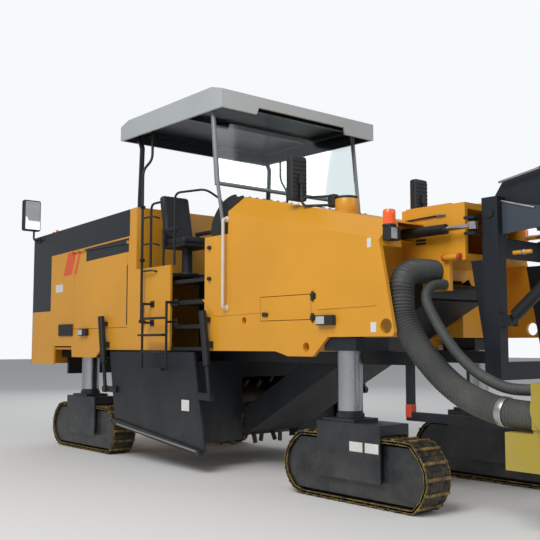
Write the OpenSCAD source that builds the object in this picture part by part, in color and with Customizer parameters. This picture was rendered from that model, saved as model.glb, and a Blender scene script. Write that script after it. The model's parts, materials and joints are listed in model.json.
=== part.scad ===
// Cold planer milling machine on four tracks, front loading, parked with its drum raised.
// Machine frame: +X forward, +Y left, +Z up. X is counted from the front leg columns
// and the whole is then moved so that its origin is the middle of its box, on the ground.

/* [Tracks and legs] */
// Distance between front and rear leg columns
wheelbase = 5350; // [5200:10:5500]
// Distance of each track's middle plane from the machine's middle
track_y = 1025; // [1000:5:1060]
// Length of a track from shoe tip to shoe tip
track_l = 1950; // [1800:10:2000]
// Height of a track over its shoes
track_h = 650; // [600:10:660]
// Width of a track shoe
shoe_w = 340; // [300:5:350]
// Thickness of a shoe and its chain link
shoe_t = 55; // [45:1:65]
// Height of the grouser bar on a shoe
lug_h = 18; // [10:1:25]
// Distance of a front track's middle ahead of its column
front_lead = 150; // [120:5:160]
// Distance of a rear track's middle ahead of its column
rear_lead = 80; // [40:5:100]
// Diameter of a lifting column
leg_d = 250; // [220:2:260]
// Outer diameter of a column's guide tube
guide_d = 285; // [280:1:288]
// Height of the guide tubes' lower ends
guide_z = 1440; // [1400:5:1470]

/* [Milling drum] */
// Distance of the drum's axis behind the front columns
drum_back = 3200; // [3100:10:3300]
// Height of the drum's axis in transport
drum_z = 680; // [660:5:720]
// Diameter of the drum's tube
drum_d = 800; // [740:10:840]
// Room between the drum's tools and each end of its housing
drum_side = 130; // [110:5:150]
// Height of the tools over the tube
tool_h = 120; // [90:5:130]
// Number of tools in one turn of the thread
tools_per_turn = 9; // [6:1:12]
// Thickness of the drum housing's plates
housing_t = 25; // [15:1:40]
// Distance of the drum housing's ends inside the body's sides
housing_inset = 70; // [60:5:90]
// Running gap round the tool tips
drum_gap = 90; // [60:5:120]

/* [Body] */
// Width of the body over its side walls
body_w = 2400; // [2360:10:2440]
// Height of the body's lower edge
body_z = 1430; // [1400:5:1460]
// Thickness of the sheet walls
wall_t = 30; // [20:1:50]
// Distance of the front body's nose ahead of the front columns
nose_x = 740; // [730:5:760]
// Distance of the front body's rear face behind the front columns
front_body_back = 2230; // [2180:10:2260]
// Height of the front body at its rear edge
front_body_h = 2800; // [2700:10:2900]
// Height of the front body's crest
crest_z = 3130; // [3050:10:3200]
// Distance of the rear body's tail behind the front columns
tail_back = 7030; // [6950:10:7100]
// Distance of the rear body's front end behind the front columns
rear_body_back = 3800; // [3760:10:3860]
// Height of the engine hood at the platform
hood_z = 3340; // [3250:10:3400]
// Height of the engine hood at the tail
hood_tail_z = 3230; // [3150:10:3300]
// Length of the hood lid that lifts
hood_l = 2350; // [2200:10:2450]
// Height of the rear end of the body's lower edge
tail_z = 1200; // [1150:10:1250]
// Height of the operator platform
deck_z = 2400; // [2350:10:2450]

/* [Canopy] */
// Width of the canopy
canopy_w = 2560; // [2500:10:2600]
// Height of the canopy's top
canopy_z = 4540; // [4450:10:4600]
// Distance of the canopy's front edge behind the front columns
canopy_front_back = 1800; // [1780:10:1860]
// Length of the canopy
canopy_l = 2330; // [2280:10:2380]
// Depth of the canopy's side fascia
canopy_t = 190; // [150:5:220]

/* [Discharge conveyor] */
// Distance of the slewing axis ahead of the front columns
slew_x = 1000; // [980:10:1040]
// Length of the console's columns
portal_l = 170; // [150:5:180]
// Height of the conveyor's lifting pivot
pivot_z = 2700; // [2690:5:2710]
// Length of the conveyor from its pivot to its head drum's axis
boom_l = 6050; // [5900:10:6200]
// Rise of the conveyor as parked, in degrees
boom_rise = 13; // [12.5:0.1:13.5]
// Width of the conveyor's frame
boom_w = 828; // [800:2:828]
// Height of the conveyor's side beams
boom_h = 300; // [260:10:340]
// Width of the belt
belt_w = 700; // [640:10:740]
// Diameter of the head drum with its belt
head_d = 300; // [260:10:320]

/* [Side plates] */
// Length of a side plate
plate_l = 2080; // [2000:10:2120]
// Thickness of a side plate
plate_t = 30; // [20:1:35]
// Height of a side plate
plate_h = 900; // [850:10:940]
// Height of a side plate's lower edge over the ground, raised
plate_z = 340; // [320:10:400]
// Lean of the plates' lifting rods from vertical, in degrees
rod_lean = 9; // [6:0.5:11]
// Height of a side plate's rod eyes over the ground, raised
rod_eye_z = 900; // [880:5:940]

/* [Hoses] */
// Diameter of the large ribbed dust hose
dust_d = 240; // [220:5:250]
// Diameter of the small ribbed hose
small_d = 100; // [80:5:100]

/* [Hidden] */
$fn = 48;
eps = 1;
// Clearance between faces that only stand next to each other
seat = 0.3;
// Clearance round things that move
gap = 6;
// Radial clearance of a running pin
run = 0.08;

// The four legs: column's X, side of the machine
leg_x_rear = -wheelbase;

// Paint
yellow = [0.88, 0.6, 0.15];
dark = [0.13, 0.16, 0.2];
grey = [0.62, 0.64, 0.65];
black = [0.08, 0.09, 0.1];

// Conveyor: its portal, its pivot, its head and the way it points
portal_x = slew_x + 240;
housing_w = body_w - 2 * housing_inset;
drum_w = housing_w - 2 * drum_side;
pivot_x = portal_x + portal_l / 2;
boom_tip_x = pivot_x + (boom_l - head_d / 2 + 60) * cos(boom_rise) + head_d / 2;
tail_x = -tail_back;
hitch_reach = 110;
x0 = -round((boom_tip_x + tail_x - hitch_reach) / 2);

// Milling drum
drum_x = -drum_back;
tip_r = drum_d / 2 + tool_h;
house_r = tip_r + drum_gap - 20;
house_back = drum_x - house_r - 160;
house_front = drum_x + house_r + 160;
house_top = 1300;

// Body
half_w = body_w / 2;
wall_in = half_w - wall_t;
rear_front_x = -rear_body_back;
panel_front_x = rear_front_x + 830;
deck_front_x = -front_body_back;
crest_x = -1770;
crest_top = crest_z + 100;
nose_top_x = 520;
nose_top_z = 2690;
nose_low_z = body_z + 145;
slope = atan2(crest_top - nose_top_z, nose_top_x - crest_x);
shoulder_y = 950;
shoulder_drop = 200;

module at_origin() { translate([x0, 0, 0]) children(); }
// An outline in X and Z, made as thick as the stretch from y_low to y_high
module slab(outline, y_low, y_high) {
    translate([0, y_high, 0]) rotate([90, 0, 0]) linear_extrude(y_high - y_low) polygon(outline);
}
module box(low, high) { translate(low) cube(high - low); }
module both() { children(); mirror([0, 1, 0]) children(); }
module on_side(side) { if (side > 0) children(); else mirror([0, 1, 0]) children(); }
// A round bar from one point to another
module bar(a, b, d) {
    v = b - a;
    l = norm(v);
    translate(a) rotate([0, acos(v[2] / l), atan2(v[1], v[0])]) cylinder(h = l, d = d, $fn = 12);
}
// A vector square to direction a, turned with it to direction b
function turned(s, a, b) = s - (b * s) / (1 + a * b) * (a + b);
// The two ends and the sides of a tube whose rings have as many points as it has sides
function tube_faces(rings, sides) = concat([[for (k = [sides - 1:-1:0]) k]],
    [for (i = [0:rings - 2]) for (k = [0:sides - 1])
        let (a = i * sides + k, b = i * sides + (k + 1) % sides)
        [a, b, b + sides, a + sides]],
    [[for (k = [0:sides - 1]) (rings - 1) * sides + k]]);
// A rail bent at points, its corners mitred
module rail(points, d) {
    sides = 8;
    n = len(points);
    dirs = [for (i = [0:n - 2]) unit(points[i + 1] - points[i])];
    start = unit(cross(dirs[0], abs(dirs[0][2]) < 0.9 ? [0, 0, 1] : [1, 0, 0]));
    across = [for (i = 0, s = start; i < n - 1; i = i + 1,
        s = i < n - 1 ? turned(s, dirs[i - 1], dirs[i]) : s) s];
    pts = [for (i = [0:n - 1])
        let (k = max(i - 1, 0), dir = dirs[k], s = across[k], w = cross(s, dir),
            plane = i == 0 || i == n - 1 ? dir : dirs[i - 1] + dirs[i])
        for (a = [0:sides - 1]) let (q = d / 2 * (cos(a * 360 / sides) * s + sin(a * 360 / sides) * w))
            points[i] + q - (q * plane) / (dir * plane) * dir];
    polyhedron(pts, tube_faces(n, sides));
}
module y_cyl(x, z, d, y_low, y_high) {
    translate([x, y_high, z]) rotate([90, 0, 0]) cylinder(h = y_high - y_low, d = d);
}
module x_cyl(y, z, d, x_low, x_high) {
    translate([x_low, y, z]) rotate([0, 90, 0]) cylinder(h = x_high - x_low, d = d);
}

// Tracks. The belt's outer face is an eight-sided loop, and its lugs stand on it.
flat_half = track_l / 2 - lug_h - 170;
belt_half = track_l / 2 - lug_h;
belt_top = track_h - lug_h;
belt_loop = [[-flat_half, lug_h], [flat_half, lug_h], [belt_half - 30, lug_h + 150],
    [belt_half, track_h * 0.5], [belt_half - 45, track_h * 0.72], [flat_half - 30, belt_top],
    [-flat_half + 30, belt_top], [-belt_half + 45, track_h * 0.72], [-belt_half, track_h * 0.5],
    [-belt_half + 30, lug_h + 150]];
shoe_pitch = 165;
cheek_t = 22;
yoke_z = track_h + 12;
yoke_top = track_h + 140;
leg_top = 2000;
rear_guide_z = 1320;
function next(list, i) = list[(i + 1) % len(list)];
function prev(list, i) = list[(i + len(list) - 1) % len(list)];
function unit(v) = v / norm(v);
function left_of(v) = [-v[1], v[0]];
// A closed outline moved inwards by t
function inset(loop, t) = [for (i = [0:len(loop) - 1])
    let (n = left_of(unit(loop[i] - prev(loop, i))), m = left_of(unit(next(loop, i) - loop[i])))
    loop[i] + (n + m) * t / (1 + n * m)];
module track_belt() {
    difference() {
        slab(belt_loop, -shoe_w / 2, shoe_w / 2);
        slab(inset(belt_loop, shoe_t), -shoe_w, shoe_w);
    }
    for (i = [0:len(belt_loop) - 1]) {
        run_v = next(belt_loop, i) - belt_loop[i];
        n = max(1, round(norm(run_v) / shoe_pitch));
        for (k = [0:n - 1])
            translate([belt_loop[i][0] + run_v[0] * (k + 0.5) / n, 0,
                belt_loop[i][1] + run_v[1] * (k + 0.5) / n])
                rotate([0, -atan2(run_v[1], run_v[0]), 0])
                    translate([-16, -shoe_w / 2, -lug_h]) cube([32, shoe_w, lug_h + 4]);
    }
}
module at_leg(front, side) {
    at_origin() translate([front > 0 ? 0 : leg_x_rear, side * track_y, 0]) children();
}
cheek_half = 420;
function lead(front) = front > 0 ? front_lead : rear_lead;
module track(front, side) {
    color(black) at_leg(front, side) translate([lead(front), 0, 0]) track_belt();
}
module leg(front, side) {
    roller_w = shoe_w - 60;
    ahead = lead(front);
    color(grey) at_leg(front, side) {
        translate([ahead, 0, 0]) {
            slab(inset(belt_loop, shoe_t + seat), -roller_w / 2, roller_w / 2);
            for (x = [-260, 260]) y_cyl(x, track_h / 2, 90, -shoe_w / 2 - gap - 4, shoe_w / 2 + gap + 4);
        }
        both() box([ahead - cheek_half, shoe_w / 2 + gap, 230],
            [ahead + cheek_half, shoe_w / 2 + gap + cheek_t, yoke_top - 30]);
        box([ahead - cheek_half, -shoe_w / 2 - gap - 5, yoke_z],
            [ahead + cheek_half, shoe_w / 2 + gap + 5, yoke_top - 30]);
        box([-210, -shoe_w / 2, yoke_top - 40], [210, shoe_w / 2, yoke_top]);
        translate([0, 0, yoke_top - 20]) cylinder(h = 60, d = leg_d + 30);
        translate([0, 0, yoke_top]) cylinder(h = leg_top - yoke_top, d = leg_d);
    }
}

// Main frame: two long beams, cross members with the guide tubes, tail beam with hitch
beam_in = 600;
beam_out = 700;
hitch_r = 26;
hitch_gap = 60;
hitch_jaw = 30;
hitch_z = 1120;
hitch_x = tail_x - 55;
module guide(front, z) {
    for (side = [-1, 1]) at_leg(front, side) translate([0, 0, z])
        cylinder(h = leg_top + 40 - z, d = guide_d);
}
module main_frame() {
    color(dark) difference() {
        union() {
            at_origin() {
                both() {
                    box([tail_x + 60, beam_in, house_top + seat], [nose_top_x, beam_out, body_z - seat]);
                    box([-220, beam_out - 1, guide_z], [220, half_w - 40, nose_low_z - 10]);
                    box([-220, beam_in, guide_z - 140], [220, beam_out, guide_z + 1]);
                    box([leg_x_rear - 190, beam_out - 1, rear_guide_z],
                        [leg_x_rear + 190, wall_in - 2, body_z - seat]);
                }
                for (x = [leg_x_rear - 190, leg_x_rear + 90, tail_x + 60])
                    box([x, -beam_in - 1, house_top + 20], [x + 100, beam_in + 1, body_z - seat]);
                box([tail_x + 60, -beam_in, hitch_z - 90], [tail_x + 120, beam_in, house_top + 60]);
                for (z = [hitch_z - hitch_gap / 2 - hitch_jaw, hitch_z + hitch_gap / 2])
                    box([tail_x - hitch_reach, -80, z], [tail_x + 61, 80, z + hitch_jaw]);
                // Front guard arms that carry the fan's duct
                translate([0, -730, 0]) {
                    box([nose_top_x - 61, 0, fan_arm_z + 80], [nose_top_x, 70, house_top + 1]);
                    box([nose_top_x - 61, 0, fan_arm_z], [fan_x + 180, 70, fan_arm_z + 81]);
                }
                box([fan_x + 100, -1000, fan_arm_z], [fan_x + 180, -729, fan_arm_z + 60]);
            }
            guide(1, guide_z);
            guide(-1, rear_guide_z);
        }
        for (front = [-1, 1]) for (side = [-1, 1]) at_leg(front, side)
            translate([0, 0, 1000]) cylinder(h = 1100, r = leg_d / 2 + run);
        at_origin() translate([hitch_x, 0, hitch_z - 200]) cylinder(h = 400, r = hitch_r);
    }
}

// Drum housing: a box round the drum, open below, behind and at the conveyor's mouth
mouth_half = 460;
gate_x = house_back;
gate_t = 45;
module drum_housing() {
    w = housing_w / 2;
    color(dark) at_origin() difference() {
        slab([[house_back, 420], [house_back, house_top], [house_front, house_top], [house_front, 330],
            [house_front - 150, 300], [drum_x, 330]], -w, w);
        y_cyl(drum_x, drum_z, house_r * 2, -w + housing_t, w - housing_t);
        // The opening below the drum
        box([drum_x - house_r + 2, -w + housing_t, 0], [drum_x + house_r - 2, w - housing_t, drum_z - 100]);
        // The mouth of the conveyor
        box([drum_x, -mouth_half, 200], [house_front + 10, mouth_half, 1100]);
        // The slot that the scraper gate slides in
        box([house_back - 10, -w + housing_t, 0], [drum_x, w - housing_t, house_top - 25]);
        // Holes for the drum's stub shafts
        y_cyl(drum_x, drum_z, 160 + 2 * run, -w - 10, w + 10);
    }
}
module scraper_gate() {
    w = housing_w / 2 - housing_t - gap;
    color(dark) at_origin() {
        box([gate_x + 10, -w, 330], [gate_x + 10 + gate_t, w, 1010]);
        for (y = [-800:400:800]) box([gate_x + 10 - 25, y - 15, 400], [gate_x + 11, y + 15, 980]);
        box([gate_x + 10 - 25, -w, 330], [gate_x + 11, w, 380]);
    }
}
module milling_drum() {
    turns = 7;
    tools = turns * tools_per_turn;
    hub_in = drum_w / 2;
    color(grey) at_origin() translate([drum_x, 0, drum_z]) {
        rotate([90, 0, 0]) cylinder(h = drum_w - 60, d = drum_d, center = true);
        rotate([90, 0, 0]) cylinder(h = housing_w + 16, d = 160, center = true);
        for (k = [0:tools - 1]) {
            y = (drum_w - 150) * (k / (tools - 1) - 0.5);
            rotate([0, (y > 0 ? 1 : -1) * k * 360 / tools_per_turn * 0.97, 0])
                translate([drum_d / 2 - 10, y, 0]) rotate([0, 90, 0])
                    cylinder(h = tool_h + 10, d = 62, $fn = 6);
        }
    }
}

// Front body: a water tank over the front legs, with a tunnel for the conveyor
lash_x = 640;
lash_z = 1670;
lash_r = 70;
tank_hole_x = -1470;
tank_hole_z = 1767;
bump_hole_x = -450;
bump_hole_z = 1475;
door_x_low = -1190;
door_x_high = -370;
door_z_low = 1750;
door_z_high = 2015;
tool_door_t = 25;
tunnel_half = 470;
recess_x = 240;
bump_low = body_z - 50;
mouth_x = 560;
recess_top = nose_top_z - shoulder_drop - 70;
// X of the nose's sloping front at a height
function nose_front(z) = nose_top_x + (nose_top_z - z) * (nose_x - nose_top_x) / (nose_top_z - nose_low_z - 40);
module front_body() {
    color(yellow) at_origin() difference() {
        slab([[deck_front_x, body_z], [-930, body_z], [-730, bump_low], [-350, bump_low],
            [-130, nose_low_z], [nose_x - 20, nose_low_z], [nose_x, nose_low_z + 40],
            [nose_top_x, nose_top_z], [crest_x, crest_top], [crest_x, front_body_h - 30],
            [deck_front_x, front_body_h - 30]], -half_w, half_w);
        box([-940, -half_w + 40, bump_low - 10], [-285, half_w - 40, body_z]);
        // Bevelled shoulders along both sides
        both() translate([crest_x, 0, crest_top]) rotate([0, slope, 0]) translate([-20, 0, 0])
            rotate([90, 0, 90]) linear_extrude(2500)
                polygon([[shoulder_y - 4, 3], [half_w + 5, -shoulder_drop], [half_w + 5, 60],
                    [shoulder_y - 4, 60]]);
        // The conveyor's tunnel, open at the front and below
        slab([[deck_front_x - 5, body_z - 300], [-1180, body_z - 300], [mouth_x + 300, 2290],
            [mouth_x + 300, 1400], [-400, 1000]], -tunnel_half, tunnel_half);
        slab([[-1900, body_z - 100], [mouth_x + 300, nose_top_z + 300], [mouth_x + 300, 1300],
            [-400, body_z - 100]], -tunnel_half + eps, tunnel_half - eps);
        // The recess behind the nose cheeks, and the opening that the head stands in
        slab([[recess_x, 1000], [nose_x + 10, 1000], [nose_x + 10, recess_top - 300], [nose_top_x + 70, recess_top],
            [recess_x, recess_top + (nose_top_x + 70 - recess_x) * tan(slope)]], -half_w + 40, half_w - 40);
        // Its higher middle, where the slewing cylinders lie
        slab([[recess_x + 15, recess_top - 90], [nose_x + 20, recess_top - 90], [nose_x + 20, nose_top_z - 200],
            [nose_top_x + 60, nose_top_z - 30], [recess_x + 15, nose_top_z - 30 + (nose_top_x + 45 - recess_x) * tan(slope)]],
            -shoulder_y + 60, shoulder_y - 60);
        box([recess_x, -head_half - seat, 1500], [nose_x + 50, head_half + seat, 3400]);
        // Room for the front legs' guide tubes
        for (side = [-1, 1]) translate([0, side * track_y, 1000])
            cylinder(h = leg_top + 40 + seat - 1000, d = guide_d + 2 * seat);
        box([-221, -half_w + 39, 1300], [221, half_w - 39, nose_low_z - 9]);
        // Lashing eyes and sight holes in both sides
        both() {
            y_cyl(lash_x, lash_z, 2 * lash_r, half_w - 90, half_w + 10);
            y_cyl(tank_hole_x, tank_hole_z, 80, half_w - 90, half_w + 10);
            y_cyl(bump_hole_x, bump_hole_z, 95, half_w - 90, half_w + 10);
            // The tool locker behind its door
            box([door_x_low, half_w - 330, door_z_low], [door_x_high, half_w + 10, door_z_high]);
        }
    }
}
// A locker's door, hinged at its front edge
module tool_door(side) {
    c = 7;
    color(yellow) at_origin() on_side(side) {
        box([door_x_low + c, half_w - tool_door_t, door_z_low + c],
            [door_x_high - c, half_w, door_z_high - c]);
        for (z = [door_z_low + 30, door_z_high - 60])
            translate([door_x_high - c - 5, half_w + 5, z]) cylinder(h = 30, d = 18);
    }
}
cover_half = 1110;
// Ribbed cover of the operators' console, behind the front body's crest
module console_cover() {
    color(black) at_origin() difference() {
        union() {
            intersection() {
                y_cyl(crest_x - 5, front_body_h - 30 + seat - 20, 2 * 470, -cover_half, cover_half);
                box([deck_front_x, -half_w, front_body_h - 30 + seat], [crest_x - seat, half_w, 3400]);
            }
            for (y = [-1090:109:1090]) intersection() {
                y_cyl(crest_x - 5, front_body_h - 50 + seat, 2 * 490, y - 12, y + 12);
                box([deck_front_x, -half_w, front_body_h - 30 + seat], [crest_x - seat, half_w, 3400]);
            }
        }
    }
}

// Rear body: a hollow shell round the engine, with doors in its sides and a lid on top
notch_x_low = -6230;
notch_x_high = -5640;
edoor_x_low = -5590;
edoor_x_high = -4030;
edoor_z_low = 1730;
edoor_z_high = 2900;
step_top_z = 2500;
lid_x_high = -3950;
lid_x_low = lid_x_high - hood_l;
lid_t = 40;
grille_z = 1970;
roof_slope = atan2(hood_z - hood_tail_z, tail_back - rear_body_back);
function roof_z(x) = hood_tail_z + (x - tail_x) * tan(roof_slope);
// Hinge tubes of the doors and the lid, which run in ears on the body
hinge_d = 24;
hinge_reach = 40;
door_pin_y = half_w + gap + hinge_d / 2;
door_pin_z = edoor_z_high - gap - hinge_d / 2;
lid_pin_x = lid_x_low + gap + hinge_d / 2;
lid_pin_z = roof_z(lid_pin_x) + gap + hinge_d / 2;
module hinge_ears() {
    side = wall_in - 30 - gap;
    both() {
        difference() {
            for (x = [edoor_x_low - hinge_reach, edoor_x_high + gap + 10])
                box([x, half_w - 1, door_pin_z - 20],
                    [x + hinge_reach - gap - 10, door_pin_y + 20, door_pin_z + 20]);
            x_cyl(door_pin_y, door_pin_z, hinge_d + 2 * run, edoor_x_low - 100, edoor_x_high + 100);
        }
        difference() {
            box([lid_pin_x - 20, side + gap + 10, lid_pin_z - 30],
                [lid_pin_x + 20, side + hinge_reach, lid_pin_z + 20]);
            y_cyl(lid_pin_x, lid_pin_z, hinge_d + 2 * run, 0, side + 100);
        }
    }
}
side_outline = [[tail_x, tail_z], [notch_x_low, tail_z], [notch_x_low, body_z + 50],
    [notch_x_high, body_z + 50],
    [notch_x_high + 20, body_z - 110], [-4900, body_z - 110], [-4750, body_z], [panel_front_x, body_z],
    [panel_front_x, step_top_z], [rear_front_x, step_top_z], [rear_front_x, hood_z], [tail_x, hood_tail_z]];
module rear_body() {
    color(yellow) at_origin() {
        difference() {
            union() {
                both() slab(side_outline, wall_in, half_w);
                // Tail wall with the radiator's opening, front bulkhead, floor and roof
                box([tail_x, -wall_in - 1, tail_z], [tail_x + wall_t, wall_in + 1, hood_tail_z]);
                box([rear_front_x - wall_t, -wall_in - 1, body_z],
                    [rear_front_x, wall_in + 1, hood_z - lid_t]);
                box([tail_x + wall_t - 1, -wall_in - 1, body_z],
                    [rear_front_x - wall_t + 1, wall_in + 1, body_z + wall_t]);
                slab([[tail_x + 1, hood_tail_z - lid_t], [rear_front_x, hood_z - lid_t],
                    [rear_front_x, hood_z],
                    [tail_x + 1, hood_tail_z]], -wall_in - 1, wall_in + 1);
            }
            // Doors' openings
            box([edoor_x_low, -half_w - 10, edoor_z_low], [edoor_x_high, half_w + 10, edoor_z_high]);
            // The radiator's opening in the tail
            box([tail_x - 10, -wall_in + 60, grille_z + 40],
                [tail_x + wall_t + 10, wall_in - 60, hood_tail_z - 90]);
            // The lid's opening
            box([lid_x_low, -wall_in + 30, hood_tail_z - 60], [lid_x_high, wall_in - 30, hood_z + 50]);
            // Room for the rear legs' guide tubes
            for (side = [-1, 1]) translate([leg_x_rear, side * track_y, 1000])
                cylinder(h = 900, d = guide_d + 2 * seat);
            // Room for the frame's beams below the floor
            box([tail_x + 50, -wall_in + 1, 1000], [rear_front_x + 5, wall_in - 1, body_z]);
        }
        hinge_ears();
    }
}
module rear_grille() {
    y_in = wall_in - 60 - seat;
    z_low = grille_z + 40 + seat;
    z_high = hood_tail_z - 90 - seat;
    color(black) at_origin() {
        difference() {
            box([tail_x + 2, -y_in, z_low], [tail_x + wall_t - 2, y_in, z_high]);
            box([tail_x - 5, -y_in + 40, z_low + 40], [tail_x + wall_t + 5, y_in - 40, z_high - 40]);
        }
        for (z = [z_low + 60:55:z_high - 60])
            box([tail_x + 4, -y_in + 20, z], [tail_x + wall_t - 4, y_in - 20, z + 22]);
        for (y = [-600:600:600]) box([tail_x + 5, y - 20, z_low + 20],
            [tail_x + wall_t - 5, y + 20, z_high - 20]);
    }
}
module engine_block() {
    color(grey) at_origin() box([-5300, -480, body_z + wall_t + seat], [-4100, 480, 2700]);
}
module engine_door(side) {
    c = gap;
    color(yellow) at_origin() on_side(side) {
        box([edoor_x_low + c, wall_in, edoor_z_low + c], [edoor_x_high - c, half_w, edoor_z_high - c]);
        x_cyl(door_pin_y, door_pin_z, hinge_d, edoor_x_low - hinge_reach, edoor_x_high + hinge_reach);
        box([edoor_x_low + c, half_w - 1, door_pin_z - 6], [edoor_x_high - c, door_pin_y, door_pin_z + 6]);
    }
}
module hood_lid() {
    c = gap;
    side = wall_in - 30 - c;
    color(grey) at_origin() {
        slab([[lid_x_low + c, roof_z(lid_x_low) - lid_t], [lid_x_high - c, roof_z(lid_x_high) - lid_t],
            [lid_x_high - c, roof_z(lid_x_high)], [lid_x_low + c, roof_z(lid_x_low)]], -side, side);
        y_cyl(lid_pin_x, lid_pin_z, hinge_d, -side - hinge_reach, side + hinge_reach);
        box([lid_pin_x - 6, -side, lid_pin_z - 30], [lid_pin_x + 6, side, lid_pin_z]);
    }
}

// Operators' platform between the two bodies, with a stair well on each side
well_x_low = panel_front_x;
well_x_high = deck_front_x;
well_in = 760;
deck_t = 40;
module platform() {
    color(black) at_origin() {
        box([rear_front_x, -wall_in, deck_z - deck_t], [well_x_low, wall_in, deck_z]);
        box([well_x_low - 1, -well_in, deck_z - deck_t], [well_x_high, well_in, deck_z]);
        both() {
            // The well's inner wall, its floor and its steps
            box([well_x_low, well_in - 40, body_z], [well_x_high, well_in, deck_z - deck_t + 1]);
            box([well_x_low, well_in - 1, body_z], [well_x_high, half_w - 20, body_z + 40]);
            for (z = [1700, 2000, 2260]) box([well_x_low, well_in - 1, z],
                [well_x_high, half_w - 60, z + 45]);
            box([well_x_low, well_in - 1, 1990], [well_x_high, half_w, 2040]);
        }
        box([well_x_low, -well_in, body_z], [well_x_low + 30, well_in, deck_z - deck_t + 1]);
        box([well_x_high - 30, -well_in, body_z], [well_x_high, well_in, deck_z - deck_t + 1]);
    }
}
seat_x = -3250;
seat_y = 760;
module seats() {
    color(black) at_origin() both() translate([seat_x, seat_y, deck_z + seat]) {
        cylinder(h = 360, d = 140);
        cylinder(h = 30, d = 320);
        box([-250, -240, 350], [260, 240, 400]);
        box([-240, -230, 399], [250, 230, 490]);
        translate([-200, 0, 480]) rotate([0, -12, 0]) box([-60, -220, 0], [60, 220, 620]);
        for (y = [-290, 230]) box([-180, y, 560], [180, y + 60, 620]);
        for (y = [-290, 230]) box([-180, y, 380], [-120, y + 60, 600]);
    }
}
module consoles() {
    color(black) at_origin() {
        box([deck_front_x - 330, -620, deck_z + seat], [deck_front_x - gap, 620, front_body_h + 120]);
        for (y = [-420, 380]) {
            translate([deck_front_x - 300, y, front_body_h + 110]) rotate([0, -35, 0])
                box([-20, -160, 0], [200, 160, 60]);
            translate([deck_front_x - 240, y, front_body_h + 40]) cylinder(h = 230, d = 40);
            translate([deck_front_x - 240, y, front_body_h + 265]) sphere(d = 60);
        }
    }
}
ladder_y = 1350;
module ladders() {
    color(black) at_origin() both() {
        x_low = -3380;
        x_high = -2820;
        for (x = [x_low, x_high]) rail([[x, half_w + seat + 15, 2020], [x, ladder_y, 2020],
            [x, ladder_y, 1180]], 32);
        for (z = [1200:210:1830]) bar([x_low, ladder_y, z], [x_high, ladder_y, z], 30);
        for (z = [1200, 1620]) box([x_low, ladder_y - 14, z - 12], [x_high, ladder_y + 70, z + 12]);
        for (x = [x_low, x_high]) bar([x, half_w + seat, 1780], [x, ladder_y, 1780], 28);
        for (x = [x_low, x_high]) for (z = [2020, 1780])
            box([x - 40, half_w + seat, z - 40], [x + 40, half_w + seat + 14, z + 40]);
    }
}
module handrails() {
    color(black) at_origin() both() {
        y = half_w + 60;
        // The tall rail at the rear post and the rails of the stairs
        rail([[-3560, half_w + seat, 1800], [-3560, y, 1800], [-3560, y, 3800], [-3560, 1120, 3950],
            [-3560, 1120, canopy_z - 140 - 2 * seat]], 36);
        rail([[-3230, 1140, deck_z + seat], [-3230, 1140, 3350], [-3540, 1140, 3350],
            [-3540, 1140, deck_z + seat]], 32);
        rail([[-2960, 1150, step_top_z + seat], [-2960, 1150, 3420], [-2500, 1000, 3420],
            [-2500, 730, 3300], [-2500, 730, deck_z + seat]], 30);
    }
    // The pale grab rail on the front body
    color("white") at_origin() both() {
        y = half_w + 60;
        rail([[-1790, half_w + seat, 1920], [-1790, y, 1920], [-1790, y, 2940],
            [-1790, half_w + seat, 2940]], 38);
    }
}

// Canopy
canopy_front_x = -canopy_front_back;
canopy_rear_x = canopy_front_x - canopy_l;
canopy_half = canopy_w / 2;
module canopy_roof() {
    color([0.68, 0.7, 0.7]) at_origin() difference() {
        slab([[canopy_rear_x, canopy_z - 60 - canopy_t], [canopy_rear_x, canopy_z - 60],
            [canopy_rear_x + 200, canopy_z],
            [canopy_front_x - 200, canopy_z], [canopy_front_x, canopy_z - 60],
                [canopy_front_x, canopy_z - 90 - canopy_t]],
            -canopy_half, canopy_half);
        slab([[canopy_rear_x + 35, 4000], [canopy_rear_x + 35, canopy_z - 80],
            [canopy_front_x - 35, canopy_z - 80],
            [canopy_front_x - 35, 4000]], -canopy_half + 35, canopy_half - 35);
        // The shallow middle of the front fascia
        translate([canopy_front_x - 60, 0, 0]) rotate([90, 0, 90]) linear_extrude(100)
            polygon([[-850, 4000], [-720, canopy_z - 190], [720, canopy_z - 190], [850, 4000]]);
    }
}
post_x_rear = canopy_rear_x + 160;
glass_top = [-2120, 4370];
glass_low = [-2010, 3400];
glass_post_y = 1184;
module canopy_frame() {
    under = canopy_z - 80 - seat;
    color(grey) at_origin() {
        both() {
            // Rear posts, windshield posts and the roof's beams
            rail([[rear_front_x - 60, 1120, hood_z + seat], [rear_front_x - 60, 1120, hood_z + 90],
                [post_x_rear + 150, 1120, 4150], [post_x_rear + 20, 1120, under - 40]], 70);
            box([canopy_rear_x + 36, 1080, under - 60], [canopy_front_x - 36, 1160, under]);
            bar([glass_low[0], glass_post_y, glass_low[1] - 20],
                [glass_top[0], glass_post_y, under - 20], 60);
            bar([glass_low[0] + 8, glass_post_y, glass_low[1] + 5],
                [crest_x - 150, glass_post_y - 30, front_body_h + 60], 44);
        }
        for (x = [canopy_rear_x + 60, -3000, glass_top[0] - 30])
            box([x, -1090, under - 60], [x + 60, 1090, under]);
        bar([glass_low[0], -glass_post_y, glass_low[1]], [glass_low[0], glass_post_y, glass_low[1]], 50);
    }
}
module windshield() {
    under = canopy_z - 80 - seat;
    color([0.7, 0.8, 0.85, 0.4]) at_origin()
        slab([[glass_low[0] - 5, glass_low[1] + 25 + seat], [glass_low[0] + 5, glass_low[1] + 25 + seat],
        [glass_top[0] + 5, under - 62], [glass_top[0] - 5, under - 62]], -glass_post_y + 35,
            glass_post_y - 35);
}

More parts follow.
